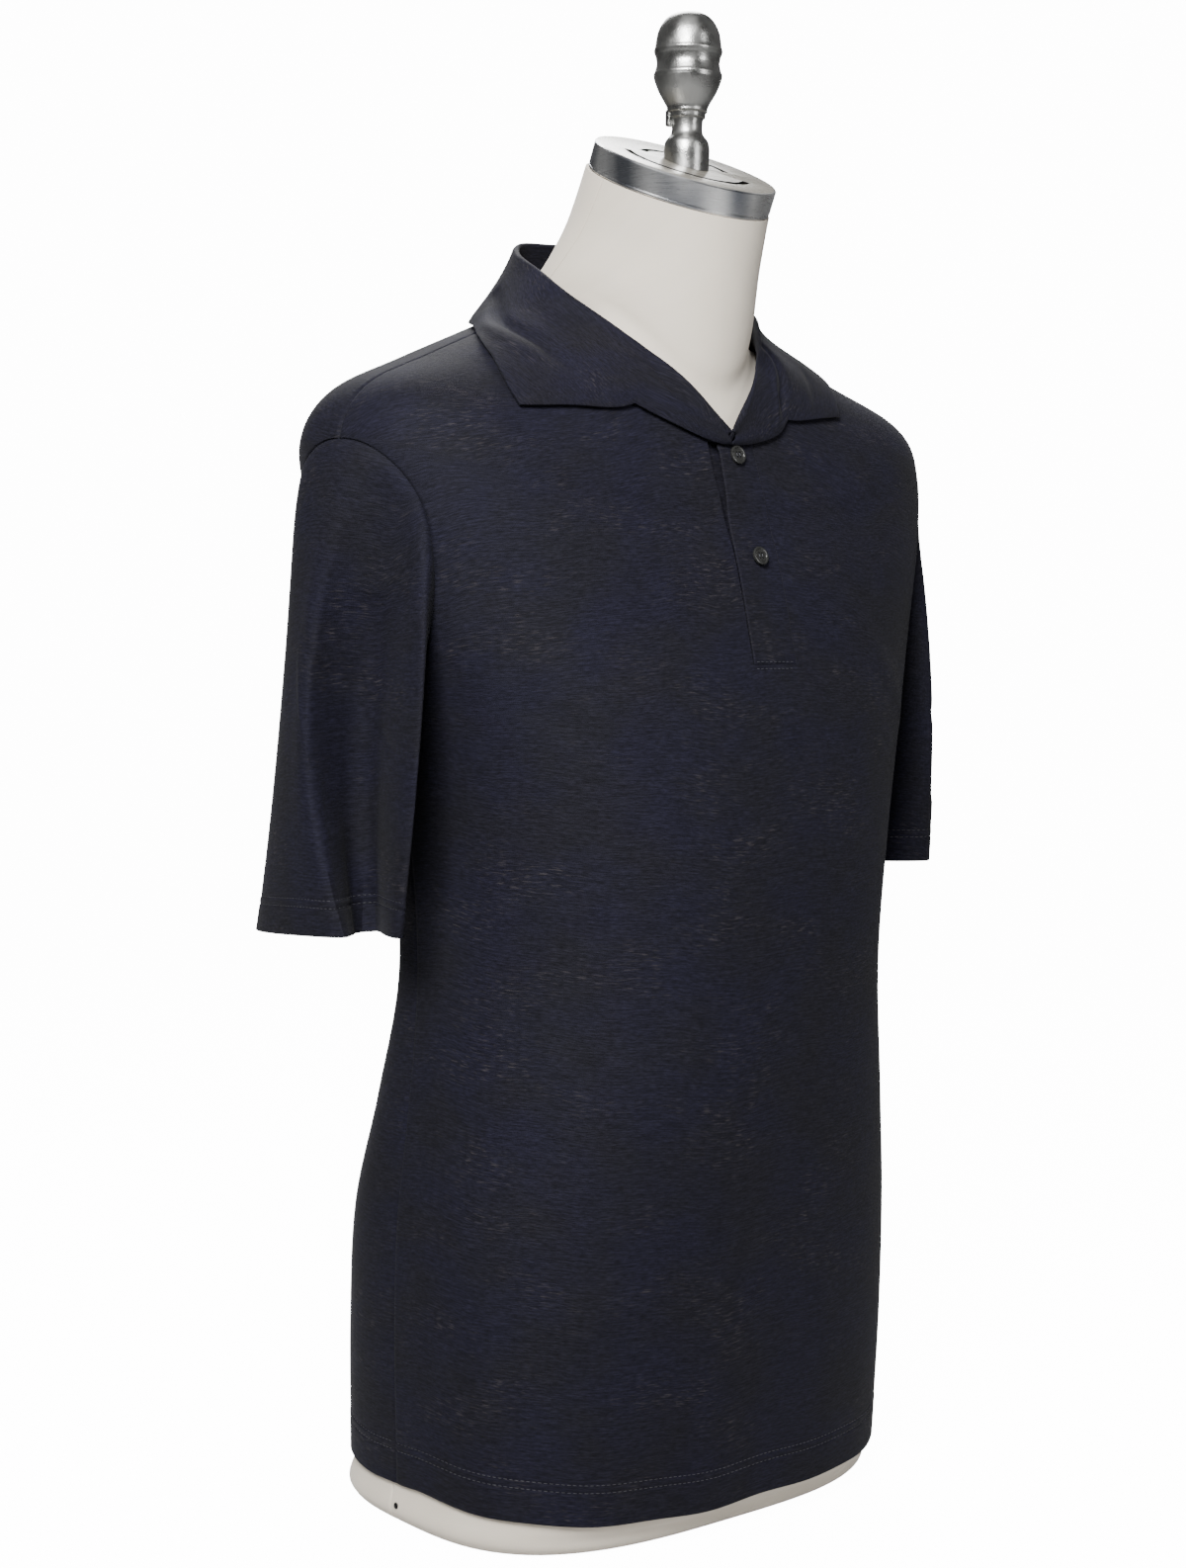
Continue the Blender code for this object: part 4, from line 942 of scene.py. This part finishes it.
# ---- Placket
# Two bands of double jersey close the slit. The wearer's left one lies over the right one. Its
# free edge stands off a little, and its foot is stitched flat.
PLACKET_LEFT, PLACKET_RIGHT = PLACKET_SHIFT - PLACKET_HALF, PLACKET_SHIFT + PLACKET_HALF
UPPER_INSET, UNDER_INSET, UNDER_LAP = 0.0009, 0.004, 0.0025
BAND, BAND_EDGE = 0.0014, 0.0005


def band_points(at, x, lift):
    """Points at distances x from the centre plane and rings at, over the front by lift."""
    return shirt(at, np.sign(x) * slit_angle(at, np.abs(x)), lift)


def make_band(name, left, right, top, lift):
    """A band up the slit. left gives its left edge at ring numbers, and lift its height."""
    at = np.linspace(SLIT_FOOT + 0.02, top, 151)[:, None]
    x = left(at) + (right - left(at)) * np.linspace(0, 1, 25)[None, :]
    at = np.broadcast_to(at, x.shape)
    band = weave_grid(name, band_points(at, x, lift(at, x)), jersey)
    double_cloth(band, BAND, BAND_EDGE)
    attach(band, "root")
    return band


def free_edge_drift(at):
    """The upper band's free edge draws back from the slit towards the button."""
    return 0.0045 * ramp(at, 8.2, 11.4)


def upper_lift(at, x):
    """The upper band slopes from a cloth's height at its free edge to nothing at its seam."""
    slope = (0.0007 + 0.0013 * ramp(at, 7.4, 10.8)) * (PLACKET_RIGHT - x) / (2 * PLACKET_HALF)
    foot = np.exp(-((at - SLIT_FOOT) / 0.10) ** 2)
    return slope * (1 - 0.55 * foot) * (1 - 0.7 * ramp(at, 11.72, 11.92)) + 0.0002


def under_lift(at, x):
    """The under band lies inside the front, deeper towards the top."""
    return -0.0020 - 0.0013 * ramp(at, 7.2, 9.0)


upper = make_band("upper_placket", lambda at: PLACKET_LEFT + UPPER_INSET + free_edge_drift(at), PLACKET_RIGHT,
                  NECKLINE - 0.02, upper_lift)
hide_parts("placket_upper")
under = make_band("under_placket", lambda at: PLACKET_LEFT - slit_opening(at) - UNDER_LAP,
                  PLACKET_RIGHT - UNDER_INSET, NECKLINE + 0.09, under_lift)
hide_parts("placket_under")

# ---- Buttons
# Two small four-hole buttons, turned from dark smoke resin, dished and polished. Each is sewn
# through the upper band with two short bars of thread.
BUTTON_RINGS, BUTTON_X = (11.64, 8.17), 0.0042
BUTTON_RADIUS, BUTTON_THICK, BUTTON_DISH = 0.00575, 0.0022, 0.0005
BUTTON_HOLE, BUTTON_HOLE_OUT = 0.00090, 0.0017
BAND_FACE, BUTTON_STANDOFF = 0.00095, 0.00045
smoke, smoke_shader = new_finish("smoke_resin", (0.02, 0.02, 0.02), 0.24)
smoke_cloud = noise(smoke, own_place(smoke), 420.0, 3.0)
join(blend(smoke, smoke_cloud, (0.004, 0.004, 0.004, 1), (0.022, 0.022, 0.021, 1)),
     smoke_shader.inputs["Base Color"])
rim = BUTTON_THICK / 2
BUTTON_PROFILE = (
    (0.0, rim - BUTTON_DISH), (0.0033, rim - BUTTON_DISH), (0.0038, rim - BUTTON_DISH * 0.8),
    (0.0041, rim - BUTTON_DISH * 1.2), (0.0044, rim - BUTTON_DISH * 0.3), (0.0048, rim), (0.0052, rim),
    (0.0056, rim * 0.75), (BUTTON_RADIUS, rim * 0.2), (0.0055, -rim * 0.6), (0.0048, -rim), (0.0, -rim))


def make_thread(name, dark, pale):
    """Thread whose twist shows as darker and paler flecks."""
    thread, shader = new_finish(name, dark, 0.6)
    twist = noise(thread, own_place(thread), 1500.0)
    join(blend(thread, twist, (*dark, 1), (*pale, 1)), shader.inputs["Base Color"])
    return thread


thread = make_thread("navy_thread", (0.013, 0.014, 0.020), (0.036, 0.037, 0.046))
for number, ring in enumerate(BUTTON_RINGS):
    here = band_points(np.array(ring), np.array(BUTTON_X), BAND_FACE)
    out = unit(here - band_points(np.array(ring), np.array(BUTTON_X), 0.0))
    place = Vector(out).to_track_quat("Z", "Y").to_matrix().to_4x4()
    place.translation = Vector(here + out * (rim + BUTTON_STANDOFF))
    holes = [Matrix.Rotation(math.radians(45 + 90 * i), 4, "Z") @ Matrix.Translation((BUTTON_HOLE_OUT, 0, 0))
             for i in range(4)]
    bm = turn_profile(BUTTON_PROFILE, 48)
    bmesh.ops.transform(bm, verts=bm.verts, matrix=place)
    button = add_object(f"resin_button_{number + 1}", bm, smoke)
    bm = bmesh.new()
    for hole in holes:
        bmesh.ops.create_cone(bm, cap_ends=True, segments=16, radius1=BUTTON_HOLE, radius2=BUTTON_HOLE,
                              depth=3 * BUTTON_THICK, matrix=place @ hole)
    cut_out(button, bm)
    bm = bmesh.new()
    for hole in holes:
        bmesh.ops.create_cone(bm, cap_ends=True, segments=8, radius1=BUTTON_HOLE * 0.8,
                              radius2=BUTTON_HOLE * 0.5, depth=BUTTON_THICK,
                              matrix=place @ hole @ Matrix.Translation((0, 0, -rim)))
    for side in (-1, 1):
        bmesh.ops.create_uvsphere(bm, u_segments=8, v_segments=6, radius=0.5, matrix=place
                                  @ Matrix.Translation((side * BUTTON_HOLE_OUT * 0.7, 0, rim - BUTTON_DISH))
                                  @ Matrix.Diagonal((0.0005, 1.5 * BUTTON_HOLE_OUT, 0.0004, 1)))
    sewing = add_object(f"button_thread_{number + 1}", bm, thread)
    for piece in (button, sewing):
        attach(piece, "root")
    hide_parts(f"button_{number + 1}")

# ---- Stitching
# Twin-needle rows of thread hold the turned hem and cuffs, and two rows close the placket's foot.
# Each stitch is a short round strand pulled into the cloth.
STITCH_SPACING, STITCH_LENGTH, THREAD = 0.0034, 0.0026, 0.00042
THREAD_PROUD = 0.15                       # share of the strand's width
FOOT_ROWS = ((SLIT_FOOT + 0.05, 0.0011), (SLIT_FOOT - 0.03, 0.0))   # ring number and height
hem_thread = make_thread("pale_navy_thread", (0.008, 0.008, 0.012), (0.028, 0.027, 0.032))


def along_run(values, run, at):
    """Rows of values, which stand at lengths run, read at other lengths."""
    return np.stack([np.interp(at, run, column) for column in values.T], -1)


def stitch_line(line, out):
    """The points of one strand for each stitch of a line, on the face that looks along out."""
    run = np.concatenate(([0], np.cumsum(np.linalg.norm(np.diff(line, axis=0), axis=-1))))
    at = np.arange(STITCH_SPACING, run[-1] - STITCH_SPACING, STITCH_SPACING)
    start, end = along_run(line, run, at - STITCH_LENGTH / 2), along_run(line, run, at + STITCH_LENGTH / 2)
    normal, along = unit(along_run(out, run, at)), unit(end - start)
    sizes = np.array((STITCH_LENGTH, THREAD, THREAD))[:, None]
    axes = np.stack((along, unit(np.cross(normal, along)), normal), 1) * sizes
    return ((start + end) / 2 + normal * THREAD * THREAD_PROUD)[:, None] + strand_points @ axes


def add_stitches(name, strands, material):
    """One mesh of many strands."""
    points = np.concatenate(strands)
    faces = [[index + step * len(strand_points) for index in face]
             for step in range(len(points)) for face in strand_faces]
    mesh = bpy.data.meshes.new(name)
    mesh.from_pydata(points.reshape(-1, 3).tolist(), [], faces)
    mesh.materials.append(material)
    mesh.shade_smooth()
    stitches = link_new(name, mesh)
    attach(stitches, "root")


def stitch_rows(name, points, heights):
    """Rows of stitches at heights above the first row of a panel's or a sleeve's points."""
    lengths = flat_lengths(points)[..., 1].T
    strands = []
    for height in heights:
        line, above = (np.array([along_run(points[:, j], up, at) for j, up in enumerate(lengths)])
                       for at in (height, height + 0.002))
        strands.append(stitch_line(line, unit(np.cross(np.gradient(line, axis=0), above - line))))
    add_stitches(name, strands, hem_thread)


bm = bmesh.new()
bmesh.ops.create_uvsphere(bm, u_segments=6, v_segments=4, radius=0.5)
strand_points = np.array([vert.co for vert in bm.verts])
strand_faces = [[vert.index for vert in face.verts] for face in bm.faces]
bm.free()
foot_stitches = []
across = np.linspace(PLACKET_LEFT, PLACKET_RIGHT, 25)
for ring, lift in FOOT_ROWS:
    line = band_points(np.full(25, ring), across, lift)
    inside = band_points(np.full(25, ring), across, lift - 0.001)
    foot_stitches.append(stitch_line(line, unit(line - inside)))
add_stitches("placket_stitches", foot_stitches, thread)
stitch_rows("hem_stitches_front", front_points, STITCH_ROWS)
stitch_rows("hem_stitches_back", back_points, STITCH_ROWS)
stitch_rows("cuff_stitches_right", right_points, CUFF_ROWS)
stitch_rows("cuff_stitches_left", left_points, CUFF_ROWS)
